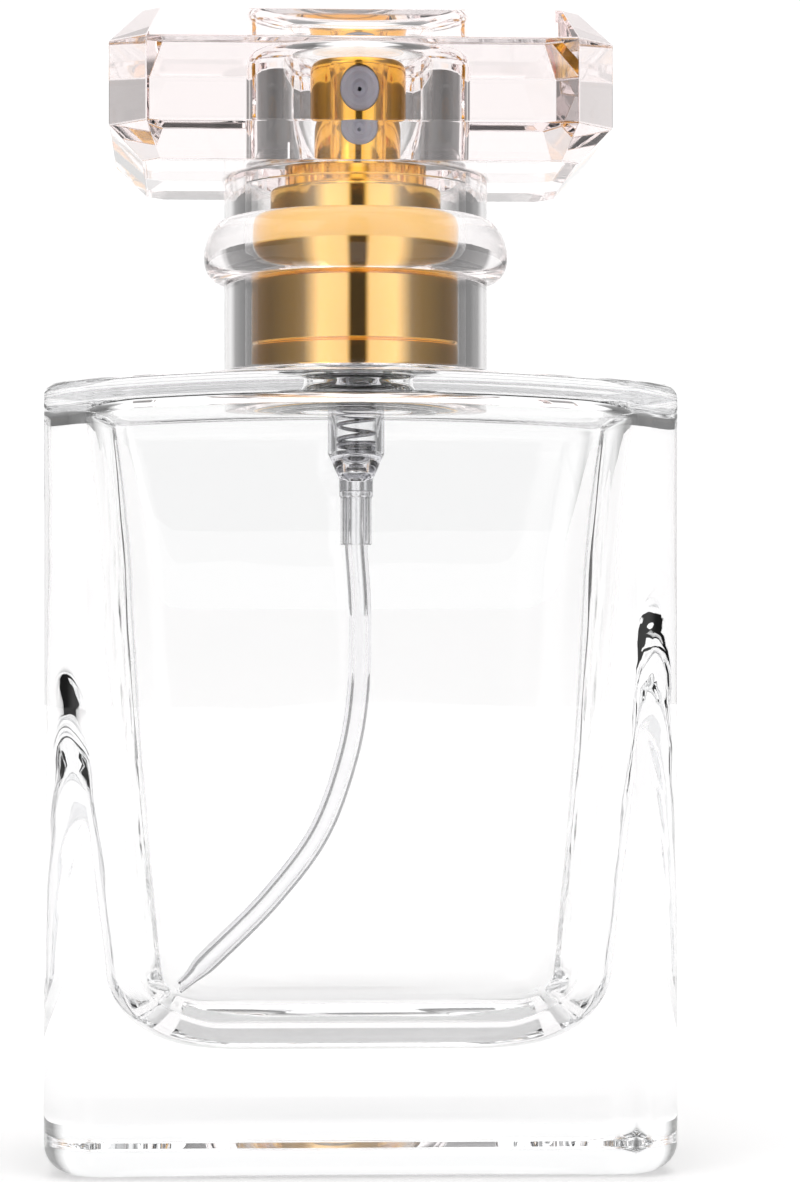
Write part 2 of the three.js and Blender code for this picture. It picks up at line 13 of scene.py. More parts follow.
import bmesh
import bpy
import numpy as np
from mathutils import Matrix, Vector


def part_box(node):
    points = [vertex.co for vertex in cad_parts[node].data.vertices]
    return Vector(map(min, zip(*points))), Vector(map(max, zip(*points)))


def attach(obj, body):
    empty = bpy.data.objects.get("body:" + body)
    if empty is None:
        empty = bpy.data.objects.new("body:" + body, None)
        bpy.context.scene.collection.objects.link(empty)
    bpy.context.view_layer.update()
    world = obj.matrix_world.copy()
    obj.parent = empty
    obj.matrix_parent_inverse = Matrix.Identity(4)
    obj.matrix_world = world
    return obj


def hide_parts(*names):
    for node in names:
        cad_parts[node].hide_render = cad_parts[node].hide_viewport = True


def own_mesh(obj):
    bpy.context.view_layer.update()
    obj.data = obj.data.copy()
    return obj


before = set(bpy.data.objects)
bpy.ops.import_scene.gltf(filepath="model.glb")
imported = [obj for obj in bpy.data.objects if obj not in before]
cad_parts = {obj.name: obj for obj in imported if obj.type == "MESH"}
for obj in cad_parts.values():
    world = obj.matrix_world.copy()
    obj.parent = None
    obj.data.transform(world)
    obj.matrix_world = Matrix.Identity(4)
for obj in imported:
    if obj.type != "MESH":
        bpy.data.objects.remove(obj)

LOG = logging.getLogger("aftershave")
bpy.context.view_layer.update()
MM = 0.001
Array = np.ndarray
Corner = tuple[float, ...]
Colour = tuple[float, float, float]

SHARP_ANGLE = math.radians(26)
WELD = 1e-6
ROUND_COLUMNS = 160
FINE_COLUMNS = 64


class Body(Enum):
    """The rigid bodies that pieces ride on."""

    FLACON = "flacon"
    PLUNGER = "plunger"
    PISTON = "sliding_piston"
    BUTTON = "button"
    BALL = "valve_ball"
    CAP = "cap"


class Slot(Enum):
    """The record's material slots."""

    GLASS = "flint_glass"
    ACRYLIC = "clear_acrylic"
    CLEAR_PLASTIC = "clear_plastic"
    COLLAR_GOLD = "gold_collar"
    BUTTON_GOLD = "gold_button"
    ALUMINIUM = "plain_aluminium"
    STEEL = "spring_steel"
    WHITE = "white_plastic"
    LILAC = "pale_plastic"
    RUBBER = "seal_rubber"


# ---------------------------------------------------------------- finishes


class Finish:
    """A named surface finish that can make its own material."""

    slot: Slot
    label: str = ""

    def dress(self, nodes: "NodeTree") -> None:
        """Sets the finish's shader and the nodes that feed it."""
        raise NotImplementedError

    def material(self) -> bpy.types.Material:
        """Makes the finish's material on first use.

        Returns:
            The material.
        """
        name = "finish_" + (self.label or self.slot.value)
        made = bpy.data.materials.get(name)
        if made is None:
            made = bpy.data.materials.new(name)
            made.use_nodes = True
            self.dress(NodeTree(made.node_tree))
        return made


class NodeTree:
    """A short way to write down a material's or the world's nodes."""

    def __init__(self, tree: bpy.types.NodeTree) -> None:
        """Empties the tree, so that only what is added here is in it."""
        self.tree = tree
        tree.nodes.clear()

    def add(self, kind: str, **inputs: object) -> bpy.types.Node:
        """Adds a node and sets or links its inputs.

        Args:
            kind: The node's type name without its "ShaderNode" start.
            **inputs: Values, or sockets to link from; an underscore stands for a space, and
                a lower-case name is one of the node's own properties.

        Returns:
            The new node.
        """
        node = self.tree.nodes.new("ShaderNode" + kind)
        for name, value in inputs.items():
            if name[0].islower():
                setattr(node, name, value)
                continue
            socket = node.inputs[name.replace("_", " ")]
            if isinstance(value, bpy.types.NodeSocket):
                self.tree.links.new(value, socket)
            else:
                socket.default_value = value
        return node

    def math(self, operation: str, first: object, second: object = 0.0) -> bpy.types.NodeSocket:
        """Works out one sum.

        Args:
            operation: The math node's operation.
            first: A value or socket.
            second: Another, where the operation takes two.

        Returns:
            The result.
        """
        node = self.add("Math", operation=operation)
        for socket, value in zip(node.inputs, (first, second)):
            if isinstance(value, bpy.types.NodeSocket):
                self.tree.links.new(value, socket)
            else:
                socket.default_value = value
        return node.outputs[0]

    def ramp(self, factor: bpy.types.NodeSocket, stops: Sequence[tuple[float, Sequence[float]]],
             smooth: bool = True) -> bpy.types.NodeSocket:
        """Runs a factor through a colour ramp.

        Args:
            factor: What the ramp reads, from 0 to 1.
            stops: Pairs of position and colour, in rising order.
            smooth: Eases between the stops instead of going straight.

        Returns:
            The ramp's colour.
        """
        node = self.add("ValToRGB", Fac=factor)
        band = node.color_ramp
        band.interpolation = "EASE" if smooth else "LINEAR"
        while len(band.elements) < len(stops):
            band.elements.new(0.5)
        for element, (position, colour) in zip(band.elements, stops):
            element.position = position
            element.color = (*colour, 1.0)
        return node.outputs["Color"]

    def between(self, factor: bpy.types.NodeSocket, low: float, high: float) -> bpy.types.NodeSocket:
        """Carries a factor onto another range.

        Args:
            factor: A factor from 0 to 1.
            low: What 0 becomes.
            high: What 1 becomes.

        Returns:
            The carried factor.
        """
        node = self.add("MapRange", Value=factor)
        node.inputs["To Min"].default_value = low
        node.inputs["To Max"].default_value = high
        return node.outputs[0]

    def place(self, stretch: Colour = (1.0, 1.0, 1.0)) -> bpy.types.NodeSocket:
        """Returns object coordinates, stretched along each axis."""
        where = self.add("TexCoord").outputs["Object"]
        return self.add("Mapping", Vector=where, Scale=stretch).outputs["Vector"]

    def noise(self, scale: float, detail: float,
              stretch: Colour = (1.0, 1.0, 1.0)) -> bpy.types.NodeSocket:
        """Returns a cloudy factor of that many features to the metre."""
        where = self.place(stretch)
        return self.add("TexNoise", Vector=where, Scale=scale, Detail=detail).outputs[0]

    def bump(self, height: bpy.types.NodeSocket, depth_mm: float) -> bpy.types.NodeSocket:
        """Returns a normal raised by a height factor to a real depth."""
        return self.add("Bump", Height=height, Strength=1.0, Distance=depth_mm * MM).outputs[0]

    def surface(self, shader: bpy.types.Node, volume: bpy.types.Node | None = None) -> None:
        """Ends the material.

        Args:
            shader: The surface's shader.
            volume: What fills the piece, if anything does.
        """
        output = self.add("OutputMaterial", Surface=shader.outputs[0])
        if volume is not None:
            self.tree.links.new(volume.outputs[0], output.inputs["Volume"])


@dataclass(frozen=True)
class ClearFinish(Finish):
    """Glass or clear plastic, tinted by its own depth."""

    slot: Slot
    ior: float
    tint: Colour
    density: float
    ripple_mm: float
    ripple_scale: float
    scuff: float

    def dress(self, nodes: NodeTree) -> None:
        """A smooth refracting skin with slow ripples and a few faint scuffs, over a tinted depth.

        Args:
            nodes: The material's tree.
        """
        ripple = nodes.noise(self.ripple_scale, 1.0)
        scratches = nodes.noise(900.0, 3.0, (1.0, 1.0, 0.15))
        worn = nodes.ramp(scratches, [(0.0, (0, 0, 0)), (0.62, (0, 0, 0)), (0.8, (1, 1, 1))])
        shader = nodes.add(
            "BsdfPrincipled",
            Base_Color=(1.0, 1.0, 1.0, 1.0),
            Roughness=nodes.between(worn, 0.0, self.scuff),
            IOR=self.ior,
            Transmission_Weight=1.0,
            Normal=nodes.bump(ripple, self.ripple_mm),
        )
        depth = nodes.add("VolumeAbsorption", Color=(*self.tint, 1.0), Density=self.density)
        nodes.surface(shader, depth)


@dataclass(frozen=True)
class AnodisedFinish(Finish):
    """Turned and anodised aluminium, with fine lathe lines round it."""

    slot: Slot
    pale: Colour
    deep: Colour
    roughness: float
    line_mm: float

    def dress(self, nodes: NodeTree) -> None:
        """Metal whose colour drifts slowly, with fine lines round the axis and a few dull spots.

        Args:
            nodes: The material's tree.
        """
        drift = nodes.noise(90.0, 2.0)
        lines = nodes.noise(260.0, 4.0, (0.12, 0.12, 22.0))
        haze = nodes.noise(420.0, 3.0)
        shader = nodes.add(
            "BsdfPrincipled",
            Base_Color=nodes.ramp(drift, [(0.3, self.pale), (0.7, self.deep)]),
            Metallic=1.0,
            Roughness=nodes.between(haze, self.roughness * 0.75, self.roughness * 1.35),
            Normal=nodes.bump(lines, self.line_mm),
        )
        nodes.surface(shader)


@dataclass(frozen=True)
class MetalFinish(Finish):
    """Drawn or pressed bare metal."""

    slot: Slot
    colour: Colour
    roughness: float
    grain: float
    label: str = ""

    def dress(self, nodes: NodeTree) -> None:
        """Metal with a fine grain in its colour, gloss and surface.

        Args:
            nodes: The material's tree.
        """
        grain = nodes.noise(self.grain, 4.0, (1.0, 1.0, 3.0))
        dark = tuple(channel * 0.82 for channel in self.colour)
        shader = nodes.add(
            "BsdfPrincipled",
            Base_Color=nodes.ramp(grain, [(0.35, dark), (0.65, self.colour)]),
            Metallic=1.0,
            Roughness=nodes.between(grain, self.roughness * 0.7, self.roughness * 1.4),
            Normal=nodes.bump(grain, 0.003),
        )
        nodes.surface(shader)


@dataclass(frozen=True)
class MouldedFinish(Finish):
    """Opaque moulded plastic or rubber."""

    slot: Slot
    colour: Colour
    roughness: float
    softness: float

    def dress(self, nodes: NodeTree) -> None:
        """A fine moulded skin with slow changes of shade.

        Args:
            nodes: The material's tree.
        """
        cloud = nodes.noise(160.0, 3.0)
        skin = nodes.noise(2600.0, 2.0)
        dark = tuple(channel * 0.9 for channel in self.colour)
        shader = nodes.add(
            "BsdfPrincipled",
            Base_Color=nodes.ramp(cloud, [(0.3, dark), (0.7, self.colour)]),
            Roughness=nodes.between(skin, self.roughness * 0.8, self.roughness * 1.2),
            Normal=nodes.bump(skin, 0.004),
        )
        shader.inputs["Subsurface Weight"].default_value = self.softness
        shader.inputs["Subsurface Scale"].default_value = 0.6 * MM
        nodes.surface(shader)


FLINT_GLASS = ClearFinish(Slot.GLASS, 1.51, (0.84, 0.85, 0.86), 10.0, 0.012, 70.0, 0.012)
ACRYLIC = ClearFinish(Slot.ACRYLIC, 1.49, (0.90, 0.76, 0.75), 15.0, 0.006, 90.0, 0.02)
CLEAR_PLASTIC = ClearFinish(Slot.CLEAR_PLASTIC, 1.5, (0.70, 0.70, 0.74), 260.0, 0.004, 400.0, 0.08)
COLLAR_GOLD = AnodisedFinish(Slot.COLLAR_GOLD, (0.96, 0.59, 0.15), (0.90, 0.52, 0.11), 0.07, 0.0006)
BUTTON_GOLD = AnodisedFinish(Slot.BUTTON_GOLD, (0.95, 0.50, 0.075), (0.88, 0.42, 0.05), 0.08, 0.0006)
ALUMINIUM = MetalFinish(Slot.ALUMINIUM, (0.66, 0.66, 0.67), 0.3, 700.0)
STEEL = MetalFinish(Slot.STEEL, (0.34, 0.34, 0.36), 0.22, 1500.0)
BALL_STEEL = MetalFinish(Slot.STEEL, (0.86, 0.86, 0.87), 0.06, 1500.0, "ball_steel")
WHITE_PLASTIC = MouldedFinish(Slot.WHITE, (0.82, 0.82, 0.81), 0.42, 0.15)
LILAC_PLASTIC = MouldedFinish(Slot.LILAC, (0.47, 0.45, 0.52), 0.3, 0.1)
RUBBER = MouldedFinish(Slot.RUBBER, (0.035, 0.035, 0.038), 0.75, 0.0)


# ---------------------------------------------------------------- outlines


def unit(vector: Array) -> Array:
    """Returns the vector at length one."""
    return vector / np.linalg.norm(vector)


def corner_arc(at: Array, back: Array, ahead: Array, fillet: float, steps: int) -> Array:
    """Rounds one corner of an outline.

    With half the corner's angle called h, the arc touches each side fillet / tan(h) from the corner,
    and its centre lies fillet / sin(h) along the bisector. The points run evenly round the arc, and one
    more on each side keeps the flats beyond it flat.

    Args:
        at: The corner.
        back: The way to the corner before.
        ahead: The way to the corner after.
        fillet: The radius wanted; it shrinks where the sides are too short for it.
        steps: How many steps the arc has.

    Returns:
        The points, from the side before to the side after.
    """
    to_back, to_ahead = unit(back), unit(ahead)
    half = 0.5 * math.acos(float(np.clip(to_back @ to_ahead, -1.0, 1.0)))
    shortest = min(np.linalg.norm(back), np.linalg.norm(ahead))
    reach = min(fillet / math.tan(half), 0.42 * shortest)
    radius = reach * math.tan(half)
    centre = at + unit(to_back + to_ahead) * radius / math.sin(half)
    start = at + to_back * reach - centre
    end = at + to_ahead * reach - centre
    sweep = math.pi - 2.0 * half
    share = np.linspace(0.0, 1.0, steps + 1)[:, None]
    arc = (np.sin((1.0 - share) * sweep) * start + np.sin(share * sweep) * end) / math.sin(sweep)
    support = min(reach * 1.15 + 0.01, 0.49 * shortest)
    return np.concatenate([[at + to_back * support], centre + arc, [at + to_ahead * support]])


def filleted(corners: Sequence[Corner], closed: bool = False, steps: int = 5) -> Array:
    """Returns an outline with rounded corners.

    Args:
        corners: Two coordinates and, where the corner is rounded, its radius.
        closed: Whether the outline comes back to its first corner.
        steps: How many steps each rounded corner has.

    Returns:
        The outline's points; a closed one repeats its first point at the end.
    """
    places = np.array([corner[:2] for corner in corners], float)
    runs = []
    last = len(corners) - 1
    for index, corner in enumerate(corners):
        open_end = not closed and index in (0, last)
        if len(corner) < 3 or open_end:
            runs.append(places[index][None])
            continue
        back = places[index - 1] - places[index]
        ahead = places[(index + 1) % len(corners)] - places[index]
        runs.append(corner_arc(places[index], back, ahead, corner[2], steps))
    path = np.concatenate(runs)
    return np.concatenate([path, path[:1]]) if closed else path


def round_sections(radius: Array, height: Array, angles: Array) -> Array:
    """Returns a round ring of points for each station: (radius cos, radius sin, height).

    Args:
        radius: Each ring's radius.
        height: Each ring's height.
        angles: The directions of the points in every ring.

    Returns:
        The rings.
    """
    ring = np.stack([np.cos(angles), np.sin(angles)], axis=-1)
    flat = np.asarray(radius, float)[:, None, None] * ring
    tall = np.broadcast_to(np.asarray(height, float)[:, None, None], (*flat.shape[:2], 1))
    return np.concatenate([flat, tall], axis=-1)


def even_angles(columns: int) -> Array:
    """Returns that many directions, evenly round the axis."""
    return np.arange(columns) * (2.0 * math.pi / columns)


def turned(profile: Array, columns: int = ROUND_COLUMNS) -> Array:
    """Carries a [radius, height] profile round the axis."""
    return round_sections(profile[:, 0], profile[:, 1], even_angles(columns))


def turned_ring(inner: float, outer: float, foot: float, top: float, edge: float = 0.05) -> Array:
    """Returns a straight-sided ring with softly rounded edges."""
    corners = [(inner, foot, edge), (outer, foot, edge), (outer, top, edge), (inner, top, edge)]
    return turned(filleted(corners, closed=True, steps=3), FINE_COLUMNS)


@dataclass(frozen=True)
class FourSided:
    """The plan of a section with four sides and four like corners.

    Each point is reach * (half size - corner size) + turn * corner size, along X and along Y, so one
    plan fits sections of any size.
    """

    reach: Array
    turn: Array

    @classmethod
    def plan(cls, corner: Array, side: Array, front: Array) -> "FourSided":
        """Makes the whole plan from its first quarter.

        Args:
            corner: The corner's own path in units of its size, from the +X side to the +Y side.
            side: Rising shares from 0 to under 1 along the +X side.
            front: Falling shares from under 1 to 0 along the +Y side.

        Returns:
            The plan, anticlockwise from the +X axis.
        """
        ones, zeros = np.ones_like, np.zeros_like
        reach = np.concatenate([
            np.stack([ones(side), side], axis=-1),
            np.ones((len(corner), 2)),
            np.stack([front, ones(front)], axis=-1),
        ])
        turn = np.concatenate([
            np.stack([ones(side), zeros(side)], axis=-1),
            corner,
            np.stack([zeros(front), ones(front)], axis=-1),
        ])
        signs = [(1, 1), (-1, 1), (-1, -1), (1, -1)]
        whole_reach, whole_turn = [], []
        for quarter, sign in enumerate(signs):
            step = -1 if quarter % 2 else 1
            whole_reach.append(reach[::step][:-1] * sign)
            whole_turn.append(turn[::step][:-1] * sign)
        return cls(np.concatenate(whole_reach), np.concatenate(whole_turn))

    def sections(self, width: Array, depth: Array, corner: Array, height: Array) -> Array:
        """Returns a four-sided ring of points for each station.

        Args:
            width: Each ring's half width.
            depth: Each ring's half depth.
            corner: Each ring's corner size.
            height: Each ring's height.

        Returns:
            The rings.
        """
        half = np.stack([width, depth], axis=-1)[:, None, :]
        size = np.asarray(corner, float)[:, None, None]
        flat = self.reach * (half - size) + self.turn * size
        tall = np.broadcast_to(np.asarray(height, float)[:, None, None], (*flat.shape[:2], 1))
        return np.concatenate([flat, tall], axis=-1)


def pole(height: float, columns: int) -> Array:
    """Returns a ring shrunk to one point on the axis, which closes a surface."""
    return np.tile(np.array([0.0, 0.0, height]), (1, columns, 1))


def directions(centre: Array) -> Array:
    """Returns the unit direction of a path at each station."""
    along = np.gradient(centre, axis=0)
    return along / np.linalg.norm(along, axis=1, keepdims=True)


def swept(centre: Array, radius: float, first: Array, columns: int) -> Array:
    """Carries a circle along a path.

    The sections stand square to the path. Their second direction is the cross product of the path's
    direction and the first, and each point is radius * (first cos + second sin) from the path.

    Args:
        centre: The path's stations.
        radius: The circle's radius.
        first: The sections' first direction at each station, square to the path.
        columns: How many points each circle has.

    Returns:
        The rings.
    """
    second = np.cross(directions(centre), first)
    angles = even_angles(columns)
    turn = np.cos(angles)[None, :, None] * first[:, None] + np.sin(angles)[None, :, None] * second[:, None]
    return centre[:, None] + radius * turn


def smooth_route(points: Sequence[Sequence[float]], stations: int) -> Array:
    """Returns a smooth path through some points.

    Between two points the path is the cubic whose slope at each point is half the step from the point
    before to the point after. The stations are then spaced evenly by length.

    Args:
        points: What the path goes through.
        stations: How many stations the path gets.

    Returns:
        The stations.
    """
    given = np.array(points, float)
    slopes = np.gradient(given, axis=0)
    spans = np.linspace(0.0, len(given) - 1 - 1e-9, 40 * len(given))
    index = spans.astype(int)
    t = (spans - index)[:, None]
    before, after = given[index], given[index + 1]
    path = (
        (2 * t**3 - 3 * t**2 + 1) * before
        + (t**3 - 2 * t**2 + t) * slopes[index]
        + (-2 * t**3 + 3 * t**2) * after
        + (t**3 - t**2) * slopes[index + 1]
    )
    length = np.concatenate([[0.0], np.cumsum(np.linalg.norm(np.diff(path, axis=0), axis=1))])
    wanted = np.linspace(0.0, length[-1], stations)
    return np.stack([np.interp(wanted, length, path[:, axis]) for axis in range(3)], axis=-1)


# ---------------------------------------------------------------- pieces


def mesh_of(name: str, rings: Array) -> bpy.types.Mesh:
    """Makes a mesh of a grid of points.

    Each point is joined to the next in its ring and to the one above it, four points to a face. Rings
    that meet in one point, and a first and last ring that are the same, are welded.

    Args:
        name: The mesh's name.
        rings: The points in millimetres, one ring to a row.

    Returns:
        The mesh, in metres, shaded smooth with its real edges sharp.
    """
    rows, columns = rings.shape[:2]
    index = np.arange(rows * columns).reshape(rows, columns)
    beside = np.roll(index, -1, axis=1)
    quads = np.stack([index[:-1], beside[:-1], beside[1:], index[1:]], axis=-1).reshape(-1, 4)
    mesh = bpy.data.meshes.new(name)
    mesh.from_pydata((rings.reshape(-1, 3) * MM).tolist(), [], quads.tolist())
    weld(mesh)
    return mesh


def weld(mesh: bpy.types.Mesh) -> None:
    """Joins points that lie on each other and sets smooth shading with sharp edges.

    Args:
        mesh: The mesh to change.
    """
    build = bmesh.new()
    build.from_mesh(mesh)
    bmesh.ops.remove_doubles(build, verts=build.verts, dist=WELD)
    bmesh.ops.dissolve_degenerate(build, edges=build.edges, dist=WELD * 0.1)
    build.to_mesh(mesh)
    build.free()
    mesh.polygons.foreach_set("use_smooth", np.ones(len(mesh.polygons), bool))
    mesh.set_sharp_from_angle(angle=SHARP_ANGLE)


def piece(name: str, rings: Array, finish: Finish, body: Body, node: str) -> bpy.types.Object:
    """Makes one finished piece and puts it in its CAD node's place.

    Args:
        name: The piece's name.
        rings: Its surface, in millimetres.
        finish: Its finish.
        body: What it rides on.
        node: The CAD node that it stands for.

    Returns:
        The piece.
    """
    made = bpy.data.objects.new(name, mesh_of(name, rings))
    bpy.context.scene.collection.objects.link(made)
    made.data.materials.append(finish.material())
    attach(made, body.value)
    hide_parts(node)
    LOG.info("%s: %d faces, for %s on %s", name, len(made.data.polygons), node, body.value)
    return made


def cut_away(target: bpy.types.Object, rings: Array) -> None:
    """Cuts a solid out of a piece and keeps the result as its mesh.

    Args:
        target: The piece.
        rings: The surface of the solid to take away.
    """
    tool = bpy.data.objects.new("cutter", mesh_of("cutter", rings))
    bpy.context.scene.collection.objects.link(tool)
    modifier = target.modifiers.new("cut", "BOOLEAN")
    modifier.operation = "DIFFERENCE"
    modifier.solver = "EXACT"
    modifier.object = tool
    graph = bpy.context.evaluated_depsgraph_get()
    made = bpy.data.meshes.new_from_object(target.evaluated_get(graph))
    target.modifiers.remove(modifier)
    target.data = made
    bpy.data.objects.remove(tool)
    weld(made)


def along_front(rings: Array, height: float) -> Array:
    """Lays a turned surface down with its axis out through the front at a height."""
    x, y, z = np.moveaxis(rings, -1, 0)
    return np.stack([x, -z, y + height], axis=-1)


@dataclass(frozen=True)
class NodeBox:
    """The box of a CAD node, in millimetres."""

    low: Array
    high: Array

    @classmethod
    def of(cls, node: str) -> "NodeBox":
        """Reads a node's box from the frame."""
        low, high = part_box(node)
        return cls(np.array(low) / MM, np.array(high) / MM)

    @property
    def foot(self) -> float:
        """The lowest height."""
        return float(self.low[2])

    @property
    def top(self) -> float:
        """The greatest height."""
        return float(self.high[2])

    @property
    def half(self) -> Array:
        """Half the sizes along X and Y."""
        return (self.high - self.low)[:2] / 2.0


# ---------------------------------------------------------------- flacon


@dataclass
class Flacon:
    """The thick-walled glass bottle: one closed skin from its foot, over its neck, to its inner floor."""

    box: NodeBox = field(default_factory=lambda: NodeBox.of("glass_bottle"))
    corner: float = 4.0
    foot_round: float = 4.0
    punt_inset: float = 6.5
    punt_rise: float = 0.35
    shoulder_round: float = 2.3
    shoulder_inset: float = 2.6
    shoulder_top: float = 68.9
    shoulder_drop: Corner = (1.15, 0.4)
    dome_reach: Corner = (24.4, 13.4)
    neck_root: float = 6.8
    neck_bead: float = 7.5
    bead_height: float = 3.4
    neck_bore: float = 4.75
    ceiling: float = 67.0
    ceiling_drop: Corner = (1.0, 0.4)
    ceiling_inset: float = 2.6
    floor: float = 10.3
    floor_crown: float = 0.35
    fillet: Corner = (9.0, 6.5, 7.0)
    cavity_low: Corner = (21.9, 11.3, 8.0)
    cavity_high: Corner = (25.2, 12.9, 5.6)
    cavity_high_z: float = 64.2
    tightening_z: float = 51.0
    wave_depth: float = 0.05
    wave_lengths: Corner = (15.0, 8.1)
    wave_slants: Corner = (4.7, 2.9)
    corner_steps: int = 22

    def build(self) -> None:
        """Makes the bottle."""
        angle = np.linspace(0.0, math.pi / 2.0, self.corner_steps + 1)
        round_corner = np.stack([np.cos(angle), np.sin(angle)], axis=-1)
        side = np.linspace(0.0, 1.0, 8, endpoint=False)
        front = np.linspace(1.0, 0.0, 14)[1:]
        self.plan = FourSided.plan(round_corner, side, front)
        self.columns = len(self.plan.reach)
        skin = np.concatenate([self.outside(), self.neck(), self.inside()])
        piece("flacon_glass", skin, FLINT_GLASS, Body.FLACON, "glass_bottle")

    def dome(self, flat: Array, top: float, drop: Corner) -> Array:
        """Returns a shallow dome's height: its top less a drop that grows with x squared and y squared."""
        shares = (flat / np.array(self.dome_reach)) ** 2
        return top - shares @ np.array(drop)

    def outside(self) -> Array:
        """The foot with its shallow punt, the upright sides and the rounded shoulder edge.

        The profile is [inset, height]. Above mid height it rides up and down with the shoulder's dome.

        Returns:
            The rings, from the middle of the foot to the shoulder's edge.
        """
        half_width, half_depth = self.box.half
        edge_top = self.shoulder_top
        profile = filleted(
            [
                (self.punt_inset + 1.6, self.punt_rise),
                (self.punt_inset, 0.0, 0.8),
                (0.0, 0.0, self.foot_round),
                (0.0, edge_top, self.shoulder_round),
                (self.shoulder_inset, edge_top),
            ],
            steps=9,
        )
        inset, height = profile.T
        corner = np.maximum(self.corner - 0.5 * inset, 0.6)
        rings = self.plan.sections(half_width - inset, half_depth - inset, corner, height)
        lift = self.dome(rings[..., :2], 0.0, self.shoulder_drop)
        upper = (height > edge_top / 2.0)[:, None]
        rings[..., 2] += np.where(upper, lift, 0.0)
        return np.concatenate([pole(self.punt_rise, self.columns), rings])

    def neck(self) -> Array:
        """The domed shoulder, the crimp neck and its bore.

        The shoulder's rings pass evenly from the four-sided edge to the round root of the neck.

        Returns:
            The rings, from the shoulder's edge to the cavity's ceiling.
        """
        half_width, half_depth = self.box.half - self.shoulder_inset
        edge = self.plan.sections(
            np.array([half_width]), np.array([half_depth]), np.array([self.corner - 1.3]), np.zeros(1)
        )
        angles = even_angles(self.columns)
        root = round_sections(np.array([self.neck_root + 1.6]), np.zeros(1), angles)
        share = np.linspace(0.04, 1.0, 14)[:, None, None]
        shoulder = edge * (1.0 - share) + root * share
        shoulder[..., 2] = self.dome(shoulder[..., :2], self.shoulder_top, self.shoulder_drop)
        top = self.box.top
        bead_foot = top - self.bead_height
        profile = filleted(
            [
                (self.neck_root + 1.5, self.shoulder_top),
                (self.neck_root, self.shoulder_top, 0.9),
                (self.neck_root, bead_foot - 0.5, 0.4),
                (self.neck_bead, bead_foot, 0.4),
                (self.neck_bead, top, 0.5),
                (self.neck_bore, top, 0.4),
                (self.neck_bore, self.ceiling, 1.0),
                (self.neck_bore + 2.2, self.ceiling),
            ]
        )
        return np.concatenate([shoulder, round_sections(profile[:, 0], profile[:, 1], angles)])

    def waves(self, walls: Array, size: Array) -> Array:
        """Returns how far the moulded side walls stand out of true along X.

        Two sine waves of height and depth cross each other at a slant. They fade towards the front and
        back walls and towards the top and bottom of the walls.

        Args:
            walls: The rings of the cavity's walls.
            size: Each ring's half width, half depth and corner size.

        Returns:
            The shift of each point.
        """
        x, y, z = np.moveaxis(walls, -1, 0)
        flat = size[:, :1] - size[:, 2:]
        beside = np.clip((np.abs(x) - flat) / size[:, 2:], 0.0, 1.0) ** 2
        rise = (z - z.min()) / (z.max() - z.min())
        ends = np.sin(math.pi * rise) ** 0.5
        long_wave, short_wave = self.wave_lengths
        long_slant, short_slant = self.wave_slants
        swing = np.sin(2.0 * math.pi * (z / long_wave + y / long_slant) + np.sign(x))
        swing += 0.6 * np.sin(2.0 * math.pi * (z / short_wave - y / short_slant) + 2.0 * np.sign(x))
        return self.wave_depth * beside * ends * swing

    def inside(self) -> Array:
        """The ceiling, the tapering walls and the deep fillet that runs into the floor.

        The half sizes follow a quarter sine wave with height, so the walls thicken faster near the foot.
        The corners keep their size up to one height and then tighten with its power of one and a half.
        The fillets are quarter ellipses.

        Returns:
            The rings, from the ceiling to the middle of the floor.
        """
        low, high = np.array(self.cavity_low), np.array(self.cavity_high)
        ceiling_inset = self.ceiling_inset
        edge_size = high - np.array([ceiling_inset, ceiling_inset, 1.5])
        edge = self.plan.sections(*(np.array([value]) for value in (*edge_size, 0.0)))
        root = round_sections(np.array([self.neck_bore + 2.3]), np.zeros(1), even_angles(self.columns))
        share = np.linspace(1.0, 0.0, 14)[:, None, None]
        ceiling = edge * (1.0 - share) + root * share
        ceiling[..., 2] = self.dome(ceiling[..., :2], self.ceiling, self.ceiling_drop)

        turn = np.linspace(math.pi / 2.0, 0.0, 12)[1:]
        inset = ceiling_inset * (1.0 - np.cos(turn))
        rise = self.ceiling - self.ceiling_drop[0] * 0.8 - self.cavity_high_z
        upper = self.plan.sections(
            high[0] - inset, high[1] - inset, high[2] - inset * 1.5 / ceiling_inset,
            self.cavity_high_z + rise * np.sin(turn),
        )
        lift = self.dome(upper[..., :2], 0.8 * self.ceiling_drop[0], self.ceiling_drop)
        upper[..., 2] += lift * np.sin(turn)[:, None]

        low_z = self.floor + self.fillet[2]
        height = np.linspace(self.cavity_high_z, low_z, 40)[1:]
        widening = np.sin((height - low_z) / (self.cavity_high_z - low_z) * math.pi / 2.0)
        size = low + (high - low) * widening[:, None]
        tighter = np.clip((height - self.tightening_z) / (self.cavity_high_z - self.tightening_z), 0.0, 1.0)
        size[:, 2] = low[2] + (high[2] - low[2]) * tighter**1.5
        walls = self.plan.sections(size[:, 0], size[:, 1], size[:, 2], height)
        walls[..., 0] += self.waves(walls, size)

        turn = np.linspace(0.0, math.pi / 2.0, 18)[1:]
        share = 1.0 - np.cos(turn)
        lower = self.plan.sections(
            low[0] - self.fillet[0] * share, low[1] - self.fillet[1] * share, low[2] - 4.2 * share,
            self.floor + self.fillet[2] * (1.0 - np.sin(turn)),
        )
        shrink = np.linspace(1.0, 0.0, 9)[1:, None, None]
        flat = lower[-1:] * np.array([1.0, 1.0, 0.0]) * shrink
        flat[..., 2] = self.floor + self.floor_crown * (1.0 - shrink[..., 0] ** 2)
        return np.concatenate([ceiling, upper, walls, lower, flat])


# ---------------------------------------------------------------- crimp closure


